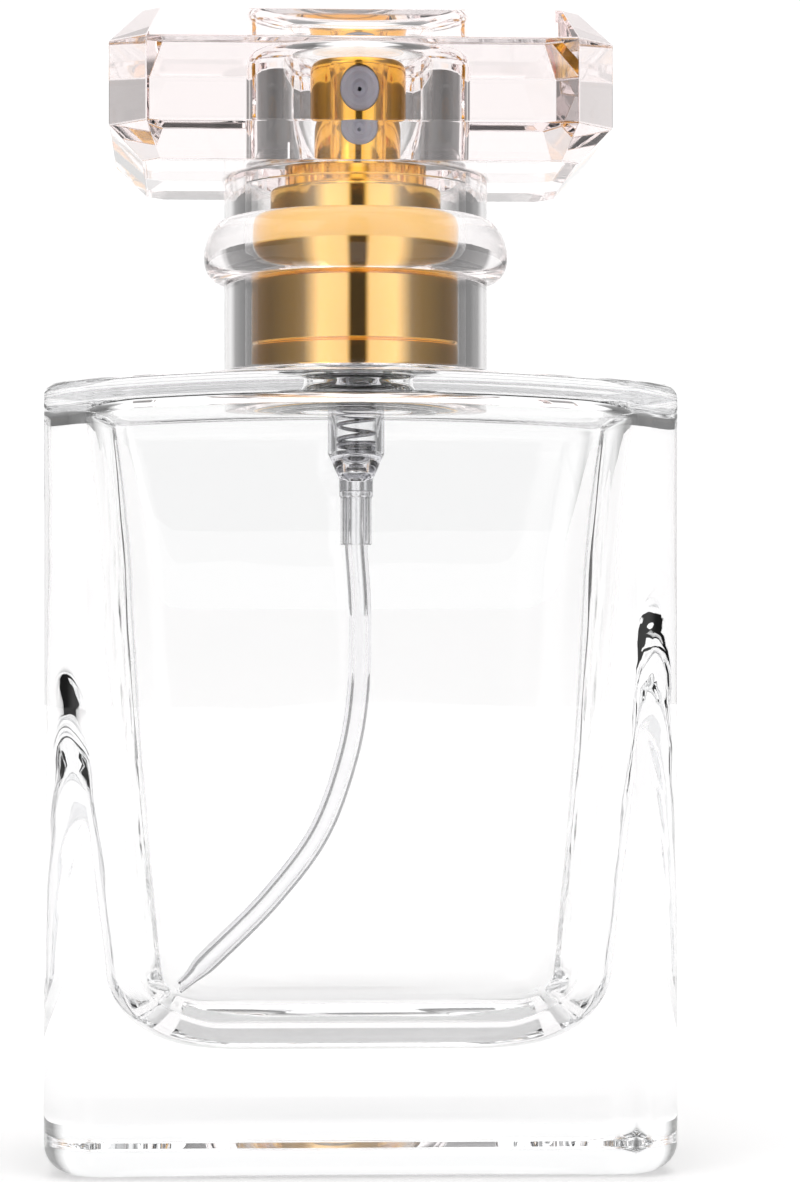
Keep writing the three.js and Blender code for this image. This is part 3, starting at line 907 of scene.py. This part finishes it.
@dataclass
class CrimpClosure:
    """The gasket, ferrule, turret and stem seal that hold the pump on the neck."""

    stem_clearance: float = 1.56
    ferrule_hole: float = 3.4
    ferrule_thick: float = 0.35
    turret_plug: float = 3.3
    turret_guide: float = 3.2
    turret_flange: float = 0.65
    seal_bore: float = 1.6

    def build(self) -> None:
        """Makes the four pieces."""
        self.gasket()
        self.ferrule()
        self.turret()
        self.seal()

    def gasket(self) -> None:
        """A flat ring, pressed a little thinner at its rims."""
        box = NodeBox.of("neck_gasket")
        inner = Flacon.neck_bore + 0.05
        rings = turned_ring(inner, box.half[0], box.foot, box.top, 0.18)
        piece("neck_seal", rings, RUBBER, Body.FLACON, "neck_gasket")

    def ferrule(self) -> None:
        """A drawn cup whose skirt is rolled in under the neck bead."""
        box = NodeBox.of("ferrule")
        outer, foot, top, wall = box.half[0], box.foot, box.top, self.ferrule_thick
        inner = outer - wall
        lip = Flacon.neck_root + 0.4
        corners = [
            (lip, foot, 0.1), (outer, foot, 0.6), (outer, top, 0.6), (self.ferrule_hole, top, 0.1),
            (self.ferrule_hole, top - wall, 0.1), (inner, top - wall, 0.3), (inner, foot + wall, 0.25),
            (lip, foot + wall, 0.1),
        ]
        rings = turned(filleted(corners, closed=True))
        piece("crimp_ferrule", rings, ALUMINIUM, Body.FLACON, "ferrule")

    def turret(self) -> None:
        """The moulded closure: a plug, a flange held under the ferrule, and a stem guide."""
        box = NodeBox.of("turret")
        flange, plug, guide, bore = box.half[0], self.turret_plug, self.turret_guide, self.stem_clearance
        flange_top = NodeBox.of("ferrule").top - self.ferrule_thick - 0.05
        flange_foot = flange_top - self.turret_flange
        corners = [
            (bore, box.foot, 0.15), (plug, box.foot, 0.2), (plug, flange_foot, 0.05),
            (flange, flange_foot, 0.1), (flange, flange_top, 0.1), (guide, flange_top, 0.05),
            (guide, box.top, 0.25), (bore, box.top, 0.15),
        ]
        rings = turned(filleted(corners, closed=True), FINE_COLUMNS)
        piece("pump_turret", rings, WHITE_PLASTIC, Body.FLACON, "turret")

    def seal(self) -> None:
        """The soft ring that the stem's flange closes against."""
        box = NodeBox.of("stem_seal")
        rings = turned_ring(self.seal_bore, box.half[0], box.foot, box.top, 0.12)
        piece("stem_ring", rings, RUBBER, Body.FLACON, "stem_seal")


# ---------------------------------------------------------------- pump


@dataclass
class Coil:
    """A round wire wound about the axis, with closed turns lying on each other at both ends."""

    radius: float
    wire: float
    foot: float
    top: float
    open_turns: float
    closed_turns: float
    steps_per_turn: int = 44
    columns: int = 12

    def rings(self) -> Array:
        """Winds the wire.

        The height rises by a little over the wire's thickness in each closed turn, and evenly over the
        open turns between them; the pitch eases from one to the other.

        Returns:
            The wire's surface, with both ends closed.
        """
        closed_rise = 2.06 * self.wire
        turns = self.open_turns + 2.0 * self.closed_turns
        inside = self.top - self.foot - 2.0 * self.wire
        open_rise = (inside - 2.0 * self.closed_turns * closed_rise) / self.open_turns
        turn = np.linspace(0.0, turns, int(turns * self.steps_per_turn) + 1)
        from_end = np.minimum(turn, turns - turn)
        opened = np.clip((from_end - self.closed_turns) / 0.35 + 0.5, 0.0, 1.0)
        pitch = closed_rise + (open_rise - closed_rise) * opened
        height = np.concatenate([[0.0], np.cumsum((pitch[1:] + pitch[:-1]) / 2.0 * np.diff(turn))])
        height = self.foot + self.wire + height * inside / height[-1]
        angle = turn * 2.0 * math.pi
        centre = np.stack([self.radius * np.cos(angle), self.radius * np.sin(angle), height], axis=-1)
        outward = np.stack([np.cos(angle), np.sin(angle), np.zeros_like(angle)], axis=-1)
        rings = swept(centre, self.wire, outward, self.columns)
        ends = [np.repeat(centre[end][None, None], self.columns, axis=1) for end in (0, -1)]
        return np.concatenate([ends[0], rings, ends[1]])


@dataclass
class Pump:
    """The clear housing and everything that works inside it, down to the dip tube."""

    upper_bore: float = 3.35
    lower_bore: float = 1.88
    lower_barrel: float = 2.5
    upper_barrel: float = 3.95
    upper_foot: float = 69.75
    bore_foot: float = 61.95
    chamber: float = 1.3
    chamber_foot: float = 60.35
    ball_hole: float = 0.5
    socket_top: float = 58.7
    socket_wall: float = 0.34
    tube_radius: float = 1.0
    tube_bore: float = 0.5
    stem_radius: float = 1.5
    stem_bore: float = 0.55
    foot_tube: float = 1.3
    pin_radius: float = 1.8
    washer_hole: float = 0.8
    tube_columns: int = 40
    tube_stations: int = 150
    tip_slant: float = 0.75
    tube_route: Sequence[Corner] = (
        (0, 0, 58.6), (0, 0, 56.2), (0, 0, 53.9), (0.35, 0, 48), (0.2, 0.1, 41), (-0.8, 0.3, 35),
        (-3.2, 0.6, 28.4), (-7.2, 0.9, 22.9), (-12, 1.2, 18), (-17, 1.5, 13.6),
    )

    def build(self) -> None:
        """Makes the pump from the housing inwards."""
        self.housing()
        self.dip_tube()
        self.valve()
        self.springs()
        self.moving_parts()

    def housing(self) -> None:
        """A stepped barrel: flange, wide barrel, narrow barrel, ball chamber and tube socket."""
        box = NodeBox.of("pump_housing")
        bore, outer = self.tube_radius + 0.04, self.tube_radius + 0.04 + self.socket_wall
        flange_foot = box.top - 0.8
        corners = [
            (bore, box.foot, 0.1), (outer, box.foot, 0.12), (outer, box.foot + 4.2, 0.05),
            (outer + 0.1, box.foot + 4.35, 0.05), (outer + 0.1, box.foot + 5.8, 0.4),
            (self.lower_barrel, self.bore_foot + 0.1, 0.8), (self.lower_barrel, self.upper_foot - 1.5, 0.6),
            (self.upper_barrel, self.upper_foot + 0.1, 0.6), (self.upper_barrel, flange_foot, 0.2),
            (box.half[0], flange_foot, 0.12), (box.half[0], box.top, 0.12), (self.upper_bore, box.top, 0.15),
            (self.upper_bore, self.upper_foot, 0.2), (self.lower_bore, self.upper_foot - 0.9, 0.3),
            (self.lower_bore, self.bore_foot, 0.08), (self.chamber, self.bore_foot, 0.08),
            (self.chamber, self.chamber_foot, 0.1), (self.ball_hole, self.chamber_foot - 0.8, 0.08),
            (self.ball_hole, self.socket_top, 0.08), (bore, self.socket_top, 0.08),
        ]
        rings = turned(filleted(corners, closed=True), 96)
        piece("housing_barrel", rings, CLEAR_PLASTIC, Body.FLACON, "pump_housing")

    def dip_tube(self) -> None:
        """A hollow tube along its resting curve, cut at a slant at its lower end.

        The outer wall runs down the path, the bore runs back up, and both ends join across the wall. The
        last stations are pushed along the path in proportion to how far round the point lies.
        """
        path = smooth_route(self.tube_route, self.tube_stations)
        along = directions(path)
        backward = np.array([0.0, 1.0, 0.0])
        first = backward - along * (along @ backward)[:, None]
        first /= np.linalg.norm(first, axis=1, keepdims=True)
        outer, inner = (
            swept(path, radius, first, self.tube_columns) for radius in (self.tube_radius, self.tube_bore)
        )
        tip = unit(path[-1] - path[-4])
        lean = self.tip_slant * np.cos(even_angles(self.tube_columns) - math.pi / 2.0)[:, None] * tip
        outer[-1] += lean * self.tube_radius
        inner[-1] += lean * self.tube_bore
        rings = np.concatenate([outer, inner[::-1], outer[:1]])
        piece("suction_tube", rings, CLEAR_PLASTIC, Body.FLACON, "dip_tube")

    def valve(self) -> None:
        """The steel ball in its cone and the washer that limits its lift."""
        box = NodeBox.of("inlet_ball")
        radius = (box.top - box.foot) / 2.0
        turn = np.linspace(-math.pi / 2.0, math.pi / 2.0, 33)
        profile = np.stack([radius * np.cos(turn), box.foot + radius * (1.0 + np.sin(turn))], axis=-1)
        profile[[0, -1], 0] = 0.0
        piece("valve_bead", turned(profile, 48), BALL_STEEL, Body.BALL, "inlet_ball")
        seat = NodeBox.of("spring_seat")
        rings = turned_ring(self.washer_hole, seat.half[0], seat.foot, seat.top, 0.06)
        piece("seat_washer", rings, STEEL, Body.FLACON, "spring_seat")

    def springs(self) -> None:
        """The return spring, squashed by the button, and the small spring above the piston."""
        main, small = NodeBox.of("main_spring"), NodeBox.of("precompression_spring")
        wire = 0.21
        coil = Coil(main.half[0] - wire, wire, main.foot, main.top, open_turns=6.0, closed_turns=1.5)
        made = piece("return_spring", coil.rings(), STEEL, Body.FLACON, "main_spring")
        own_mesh(made)

        wire = 0.15
        coil = Coil(small.half[0] - wire, wire, small.foot, small.top, open_turns=2.0, closed_turns=1.0)
        made = piece("slip_spring", coil.rings(), STEEL, Body.PLUNGER, "precompression_spring")
        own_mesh(made)

    def moving_parts(self) -> None:
        """The stem, the valve pin pressed into it and the two-lipped piston."""
        stem, pin, piston = (NodeBox.of(node) for node in ("stem", "valve_pin", "piston"))
        small_spring = NodeBox.of("precompression_spring")
        flange_foot = small_spring.top + 0.05
        foot_tube, bore, radius = self.foot_tube, self.stem_bore, self.stem_radius
        corners = [
            (bore, stem.foot, 0.1), (foot_tube, stem.foot, 0.1), (foot_tube, flange_foot, 0.05),
            (stem.half[0], flange_foot, 0.12), (stem.half[0], flange_foot + 0.5, 0.12),
            (radius, flange_foot + 0.5, 0.1), (radius, stem.top, 0.3), (bore, stem.top, 0.1),
        ]
        rings = turned(filleted(corners, closed=True), FINE_COLUMNS)
        piece("hollow_stem", rings, WHITE_PLASTIC, Body.PLUNGER, "stem")

        shoulder_top = piston.foot - 0.05
        shoulder_foot = shoulder_top - 0.6
        shank, wide = bore - 0.05, self.pin_radius
        corners = [
            (0.0, pin.foot), (0.95, pin.foot, 0.35), (0.95, shoulder_foot, 0.08), (wide, shoulder_foot, 0.1),
            (wide, shoulder_top, 0.1), (shank, shoulder_top, 0.05), (shank, pin.top, 0.2), (0.0, pin.top),
        ]
        rings = turned(filleted(corners), FINE_COLUMNS)
        piece("piston_pin", rings, WHITE_PLASTIC, Body.PLUNGER, "valve_pin")

        lip, slip = piston.half[0], foot_tube + 0.05
        middle = (piston.foot + piston.top) / 2.0
        corners = [
            (slip, piston.foot, 0.08), (lip - 0.45, piston.foot, 0.1), (lip, piston.foot + 0.05, 0.08),
            (lip - 0.35, middle, 0.4), (lip, piston.top - 0.05, 0.08), (lip - 0.45, piston.top, 0.1),
            (slip, piston.top, 0.08),
        ]
        rings = turned(filleted(corners, closed=True), FINE_COLUMNS)
        piece("lipped_piston", rings, WHITE_PLASTIC, Body.PISTON, "piston")


# ---------------------------------------------------------------- collar and button


@dataclass
class Collar:
    """The gold stepped collar and the plastic liner that holds it on the ferrule."""

    wall: float = 0.35
    step: float = 82.8
    neck_radius: float = 7.55
    mouth: float = 6.6
    groove_rise: float = 2.1
    groove_depth: float = 0.16
    web_hole: float = 6.8
    web_thick: float = 0.5

    def build(self) -> None:
        """Makes the shell and the liner."""
        self.shell()
        self.liner()

    def shell(self) -> None:
        """A thin drawn shell with a rolled foot, a fine groove, a rounded step and a raised ring."""
        box = NodeBox.of("collar_shell")
        outer, foot, top, wall = box.half[0], box.foot, box.top, self.wall
        inner, groove = outer - wall, foot + self.groove_rise
        neck_inner = self.neck_radius - wall
        corners = [
            (inner, foot, 0.1), (outer, foot, 0.22), (outer, groove - 0.16, 0.08),
            (outer - self.groove_depth, groove, 0.05), (outer, groove + 0.16, 0.08),
            (outer, self.step, 0.55), (self.neck_radius, self.step, 0.12), (self.neck_radius, top, 0.32),
            (self.mouth, top, 0.12), (self.mouth, top - wall, 0.08), (neck_inner, top - wall, 0.15),
            (neck_inner, self.step - wall, 0.1), (inner, self.step - wall, 0.3),
        ]
        rings = turned(filleted(corners, closed=True, steps=6))
        piece("gold_collar_shell", rings, COLLAR_GOLD, Body.FLACON, "collar_shell")

    def liner(self) -> None:
        """A sleeve with a web across it that stops on top of the ferrule."""
        box = NodeBox.of("collar_liner")
        ferrule = NodeBox.of("ferrule")
        inner, web = ferrule.half[0] + 0.07, ferrule.top + 0.05
        outer, hole, web_top = box.half[0], self.web_hole, web + self.web_thick
        corners = [
            (inner, box.foot, 0.08), (outer, box.foot, 0.1), (outer, box.top, 0.1), (inner, box.top, 0.1),
            (inner, web_top, 0.1), (hole, web_top, 0.1), (hole, web, 0.1), (inner, web, 0.1),
        ]
        rings = turned(filleted(corners, closed=True))
        piece("collar_sleeve", rings, WHITE_PLASTIC, Body.FLACON, "collar_liner")


@dataclass
class Button:
    """The spray button: a gold cup over a moulded core, with the nozzle set in its front."""

    wall: float = 0.35
    edge: float = 0.85
    nozzle_radius: float = 2.0
    nozzle_height: float = 93.2
    stem_radius: float = 1.5
    boss_radius: float = 2.6
    boss_rise: float = 3.0
    core_wall: float = 0.6
    riser_radius: float = 0.5
    seat_depth: float = 3.0
    orifice: float = 0.2

    def build(self) -> None:
        """Makes the shell, the core and the nozzle."""
        self.shell()
        self.core()
        self.nozzle()

    def front_rod(self, radius: float, start: float, end: float) -> Array:
        """Returns a closed round rod along the nozzle's axis, from one distance in front to another."""
        profile = np.array([(0.0, start), (radius, start), (radius, end), (0.0, end)])
        return along_front(turned(profile, FINE_COLUMNS), self.nozzle_height)

    def shell(self) -> None:
        """A drawn cup with a rounded top edge and a faintly crowned roof, pierced for the nozzle."""
        box = NodeBox.of("actuator_shell")
        outer, foot, top, wall = box.half[0], box.foot, box.top, self.wall
        inner = outer - wall
        corners = [
            (0.0, top - wall), (inner, top - wall, 0.5), (inner, foot, 0.08), (outer, foot, 0.12),
            (outer, top - 0.12, self.edge), (outer * 0.5, top - 0.03, 4.0), (0.0, top),
        ]
        made = piece("gold_button_cup", turned(filleted(corners, steps=9)), BUTTON_GOLD, Body.BUTTON,
                     "actuator_shell")
        cut_away(made, self.front_rod(self.nozzle_radius + 0.04, self.seat_depth, outer + 1.0))

    def core(self) -> None:
        """The moulded core: a cup with a stem socket, a riser and a seat for the nozzle."""
        box = NodeBox.of("actuator_body")
        outer, foot, top = box.half[0], box.foot, box.top
        stem_top = NodeBox.of("stem").top
        boss, riser = self.boss_radius, self.riser_radius
        roof, inner = foot + self.boss_rise, outer - self.core_wall
        corners = [
            (0.0, foot), (boss, foot, 0.15), (boss, roof, 0.2), (inner, roof, 0.2), (inner, foot, 0.1),
            (outer, foot, 0.12), (outer, top, 0.6), (0.0, top),
        ]
        made = piece("button_core", turned(filleted(corners)), WHITE_PLASTIC, Body.BUTTON, "actuator_body")
        upright = (
            (self.stem_radius + 0.05, foot - 1.0, stem_top + 0.1),
            (riser, stem_top - 1.0, self.nozzle_height),
        )
        for radius, low, high in upright:
            rod = np.array([(0.0, low), (radius, low), (radius, high), (0.0, high)])
            cut_away(made, turned(rod, FINE_COLUMNS))
        cut_away(made, self.front_rod(self.nozzle_radius + 0.04, self.seat_depth, outer + 1.0))
        cut_away(made, self.front_rod(riser, -0.5, 4.0))

    def nozzle(self) -> None:
        """A moulded insert with a dished face, a raised rim and the spray orifice."""
        box = NodeBox.of("nozzle_insert")
        face, back = -float(box.low[1]), -float(box.high[1])
        radius, orifice = self.nozzle_radius, self.orifice
        corners = [
            (orifice, back, 0.05), (radius, back, 0.1), (radius, face, 0.25), (radius - 0.5, face, 0.12),
            (radius - 0.75, face - 0.18, 0.12), (0.85, face - 0.18, 0.1), (0.6, face - 0.42, 0.1),
            (orifice, face - 0.5, 0.06),
        ]
        rings = along_front(turned(filleted(corners, closed=True), FINE_COLUMNS), self.nozzle_height)
        piece("spray_nozzle", rings, LILAC_PLASTIC, Body.BUTTON, "nozzle_insert")


# ---------------------------------------------------------------- overcap


@dataclass
class Overcap:
    """The clear T-shaped cap: a bevelled block over a round skirt with a ring bead, and its liner."""

    box: NodeBox = field(default_factory=lambda: NodeBox.of("cap_shell"))
    block_foot: float = 86.3
    bevel: float = 2.9
    corner: float = 3.2
    facet_edge: float = 0.32
    skirt: float = 11.65
    bead: float = 13.45
    bead_centre: float = 79.9
    bead_tall: float = 5.3
    bead_sag: float = 0.5
    bore: float = 9.8
    ceiling: float = 96.9
    ceiling_round: float = 1.6

    def build(self) -> None:
        """Makes the cap and its liner."""
        self.shell()
        self.liner()

    def block_plan(self) -> FourSided:
        """Lays out the block's plan: flat bevels on its upright edges, with slightly rounded arrises.

        The points along each side are spaced evenly by their direction from the axis, at the size of the
        underside, so that round rings below it can share their directions.

        Returns:
            The plan.
        """
        far = 0.5
        path = filleted([(1.0, -far), (1.0, 0.0, 0.05), (0.0, 1.0, 0.05), (-far, 1.0)], steps=3)[1:-1]
        half_width, half_depth = self.box.half - self.bevel
        corner = self.corner - (2.0 - math.sqrt(2.0)) * self.bevel
        side_end = math.atan2(half_depth - corner, half_width)
        front_end = math.atan2(half_width - corner, half_depth)
        side = np.tan(np.linspace(0.0, side_end, 22, endpoint=False)) / math.tan(side_end)
        front = np.tan(np.linspace(front_end, 0.0, 41)[1:]) / math.tan(front_end)
        return FourSided.plan(path, side, front)

    def shell(self) -> None:
        """The cap in one closed skin, from the bore's ceiling, round the skirt and bead, to the top.

        The bead is a half ellipse whose points hang lower by the square of how far out they stand.
        """
        plan = self.block_plan()
        half_width, half_depth = self.box.half
        block_top, skirt_foot = self.box.top, self.box.foot
        profile = filleted(
            [
                (2.0 * self.bevel, self.block_foot),
                (self.bevel, self.block_foot, self.facet_edge),
                (0.0, self.block_foot + self.bevel, self.facet_edge),
                (0.0, block_top - self.bevel, self.facet_edge),
                (self.bevel, block_top, self.facet_edge),
                (self.bevel + 1.0, block_top),
            ],
            steps=3,
        )[1:]
        inset, height = profile.T
        corner = np.maximum(self.corner - (2.0 - math.sqrt(2.0)) * inset, 0.4)
        block = plan.sections(half_width - inset, half_depth - inset, corner, height)
        underside = block[0]
        angles = np.arctan2(underside[:, 1], underside[:, 0])
        turn = np.linspace(-math.pi / 2.0, math.pi / 2.0, 25)
        out, up = np.cos(turn), np.sin(turn)
        bead = np.stack([
            self.skirt + (self.bead - self.skirt) * out,
            self.bead_centre + self.bead_tall / 2.0 * up - self.bead_sag * out**2,
        ], axis=-1)
        below = filleted([
            (0.0, self.ceiling), (self.bore, self.ceiling, self.ceiling_round), (self.bore, skirt_foot, 0.2),
            (self.skirt, skirt_foot, 0.25), tuple(bead[0]),
        ], steps=8)
        above = filleted([
            tuple(bead[-1]), (self.skirt, self.block_foot, 0.3), (self.skirt + 0.4, self.block_foot),
        ])
        round_profile = np.concatenate([below, bead[1:], above[1:]])
        skirt = round_sections(round_profile[:, 0], round_profile[:, 1], angles)
        rings = np.concatenate([skirt, block, pole(block_top, len(angles))])
        piece("overcap_acrylic", rings, ACRYLIC, Body.CAP, "cap_shell")

    def liner(self) -> None:
        """A thin clear sleeve that grips the collar."""
        box = NodeBox.of("cap_liner")
        inner = NodeBox.of("collar_shell").half[0] + 0.12
        corners = [(inner, box.foot, 0.12), (box.half[0], box.foot, 0.1), (box.half[0], box.top, 0.1),
                   (inner, box.top, 0.15)]
        rings = turned(filleted(corners, closed=True))
        piece("cap_sleeve", rings, ACRYLIC, Body.CAP, "cap_liner")


# ---------------------------------------------------------------- studio


@dataclass
class Studio:
    """A plain set: a pale floor, a white backdrop, grey sides, a soft ceiling and two softboxes in front.

    The camera stands in the gap between the softboxes, which the metal reflects as a narrow dark line.

    The levels round the horizon are pairs of direction and brightness, the same on the left as on the
    right. A direction is in degrees from straight in front, so the backdrop is at 180.
    """

    floor_size: float = 60.0
    camera_distance: float = 0.307
    camera_height: float = 0.0403
    lens: float = 105.5
    shift: Corner = (0.0376, 0.0925)
    camera_turn: float = -2.5
    backdrop: float = 1.08
    peak: float = 2.0
    ceiling: float = 1.6
    ceiling_rise: Corner = (52.0, 72.0)
    floor_glow: float = 0.36
    floor_shades: Sequence[tuple[float, Colour]] = ((0.3, (0.83, 0.82, 0.82)), (0.7, (0.86, 0.85, 0.85)))
    around: Sequence[tuple[float, float]] = (
        (0, 0.06), (7, 0.06), (12, 1.2), (40, 1.4), (58, 0.3),
        (100, 0.15), (150, 0.3), (164, 1.08), (180, 1.08),
    )

    def build(self) -> None:
        """Makes the floor, the surround, the lights and the camera."""
        self.floor()
        self.surround()
        self.lights()
        self.camera()
        self.light_paths()

    def floor(self) -> None:
        """A plain pale matt floor, the same for everything that looks at it."""
        half = self.floor_size / 2.0
        mesh = bpy.data.meshes.new("floor")
        corners = [(-half, -half, 0.0), (half, -half, 0.0), (half, half, 0.0), (-half, half, 0.0)]
        mesh.from_pydata(corners, [], [(0, 1, 2, 3)])
        made = bpy.data.objects.new("floor", mesh)
        bpy.context.scene.collection.objects.link(made)
        material = bpy.data.materials.new("pale_floor")
        material.use_nodes = True
        nodes = NodeTree(material.node_tree)
        cloud = nodes.noise(14.0, 3.0)
        nodes.surface(nodes.add(
            "BsdfPrincipled",
            Base_Color=nodes.ramp(cloud, self.floor_shades),
            Roughness=0.9,
            Emission_Color=(1.0, 1.0, 1.0, 1.0),
            Emission_Strength=self.floor_glow,
        ))
        mesh.materials.append(material)

    def surround(self) -> None:
        """Lights the world: the levels round the horizon, which go over into an even ceiling.

        The background itself is plain white from every side; the levels are only in what it lights.
        """
        world = bpy.data.worlds.new("studio")
        bpy.context.scene.world = world
        world.use_nodes = True
        nodes = NodeTree(world.node_tree)
        where = nodes.add("SeparateXYZ", Vector=nodes.add("TexCoord").outputs["Generated"])
        forward = nodes.math("MULTIPLY", where.outputs["Y"], -1.0)
        turn = nodes.math("ABSOLUTE", nodes.math("ARCTAN2", where.outputs["X"], forward))
        ring = [(angle / 180.0, (level / self.peak,) * 3) for angle, level in self.around]
        level = nodes.ramp(nodes.math("DIVIDE", turn, math.pi), ring, smooth=False)
        climb = nodes.math("ARCSINE", where.outputs["Z"])
        low, high = (math.radians(angle) for angle in self.ceiling_rise)
        rise = nodes.add("MapRange", Value=climb)
        rise.inputs["From Min"].default_value, rise.inputs["From Max"].default_value = low, high
        below = nodes.math("MULTIPLY", level, nodes.math("SUBTRACT", 1.0, rise.outputs[0]))
        above = nodes.math("MULTIPLY", rise.outputs[0], self.ceiling / self.peak)
        strength = nodes.math("MULTIPLY", nodes.math("ADD", below, above), self.peak)
        around = nodes.add("Background", Color=(1.0, 1.0, 1.0, 1.0), Strength=strength)
        plain = nodes.add("Background", Color=(1.0, 1.0, 1.0, 1.0), Strength=self.backdrop)
        shade = nodes.add("MixShader", Fac=nodes.add("LightPath").outputs["Is Camera Ray"])
        nodes.tree.links.new(around.outputs[0], shade.inputs[1])
        nodes.tree.links.new(plain.outputs[0], shade.inputs[2])
        nodes.add("OutputWorld", Surface=shade.outputs[0])

    def lights(self) -> None:
        """Two soft panels: one high on the left, one overhead."""
        panels = (
            ("key_panel", (-0.55, -0.45, 0.62), 0.5, 0.5),
            ("top_panel", (0.1, 0.15, 0.95), 0.9, 0.6),
        )
        for name, place, size, power in panels:
            data = bpy.data.lights.new(name, "AREA")
            data.shape = "RECTANGLE"
            data.size = size
            data.size_y = size * 0.7
            data.energy = power
            light = bpy.data.objects.new(name, data)
            bpy.context.scene.collection.objects.link(light)
            light.location = place
            target = Vector((0.0, 0.0, 0.05)) - light.location
            light.rotation_euler = target.to_track_quat("-Z", "Y").to_euler()
            light.visible_camera = False

    def camera(self) -> None:
        """A level camera in front of the bottle, with its frame shifted to place the bottle."""
        data = bpy.data.cameras.new("camera")
        data.lens = self.lens
        data.sensor_width = 36.0
        data.shift_x, data.shift_y = self.shift
        data.clip_start = 0.01
        data.clip_end = 60.0
        made = bpy.data.objects.new("camera", data)
        bpy.context.scene.collection.objects.link(made)
        turn = math.radians(self.camera_turn)
        made.location = (
            self.camera_distance * math.sin(turn),
            -self.camera_distance * math.cos(turn),
            self.camera_height,
        )
        made.rotation_euler = (math.radians(90.0), 0.0, turn)
        bpy.context.scene.camera = made

    def light_paths(self) -> None:
        """Lets light cross the many clear walls, and keeps the colours as they are."""
        scene = bpy.context.scene
        scene.view_settings.view_transform = "Standard"
        cycles = scene.cycles
        cycles.max_bounces = 32
        cycles.transmission_bounces = 28
        cycles.glossy_bounces = 12
        cycles.transparent_max_bounces = 16
        cycles.diffuse_bounces = 4
        cycles.sample_clamp_indirect = 6.0


def main() -> None:
    """Builds the aftershave bottle and its studio, in order."""
    logging.basicConfig(level=logging.INFO, format="%(name)s %(message)s")
    Studio().build()
    for assembly in (Flacon(), CrimpClosure(), Pump(), Collar(), Button(), Overcap()):
        assembly.build()
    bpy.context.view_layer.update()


if __name__ == "__main__":
    main()
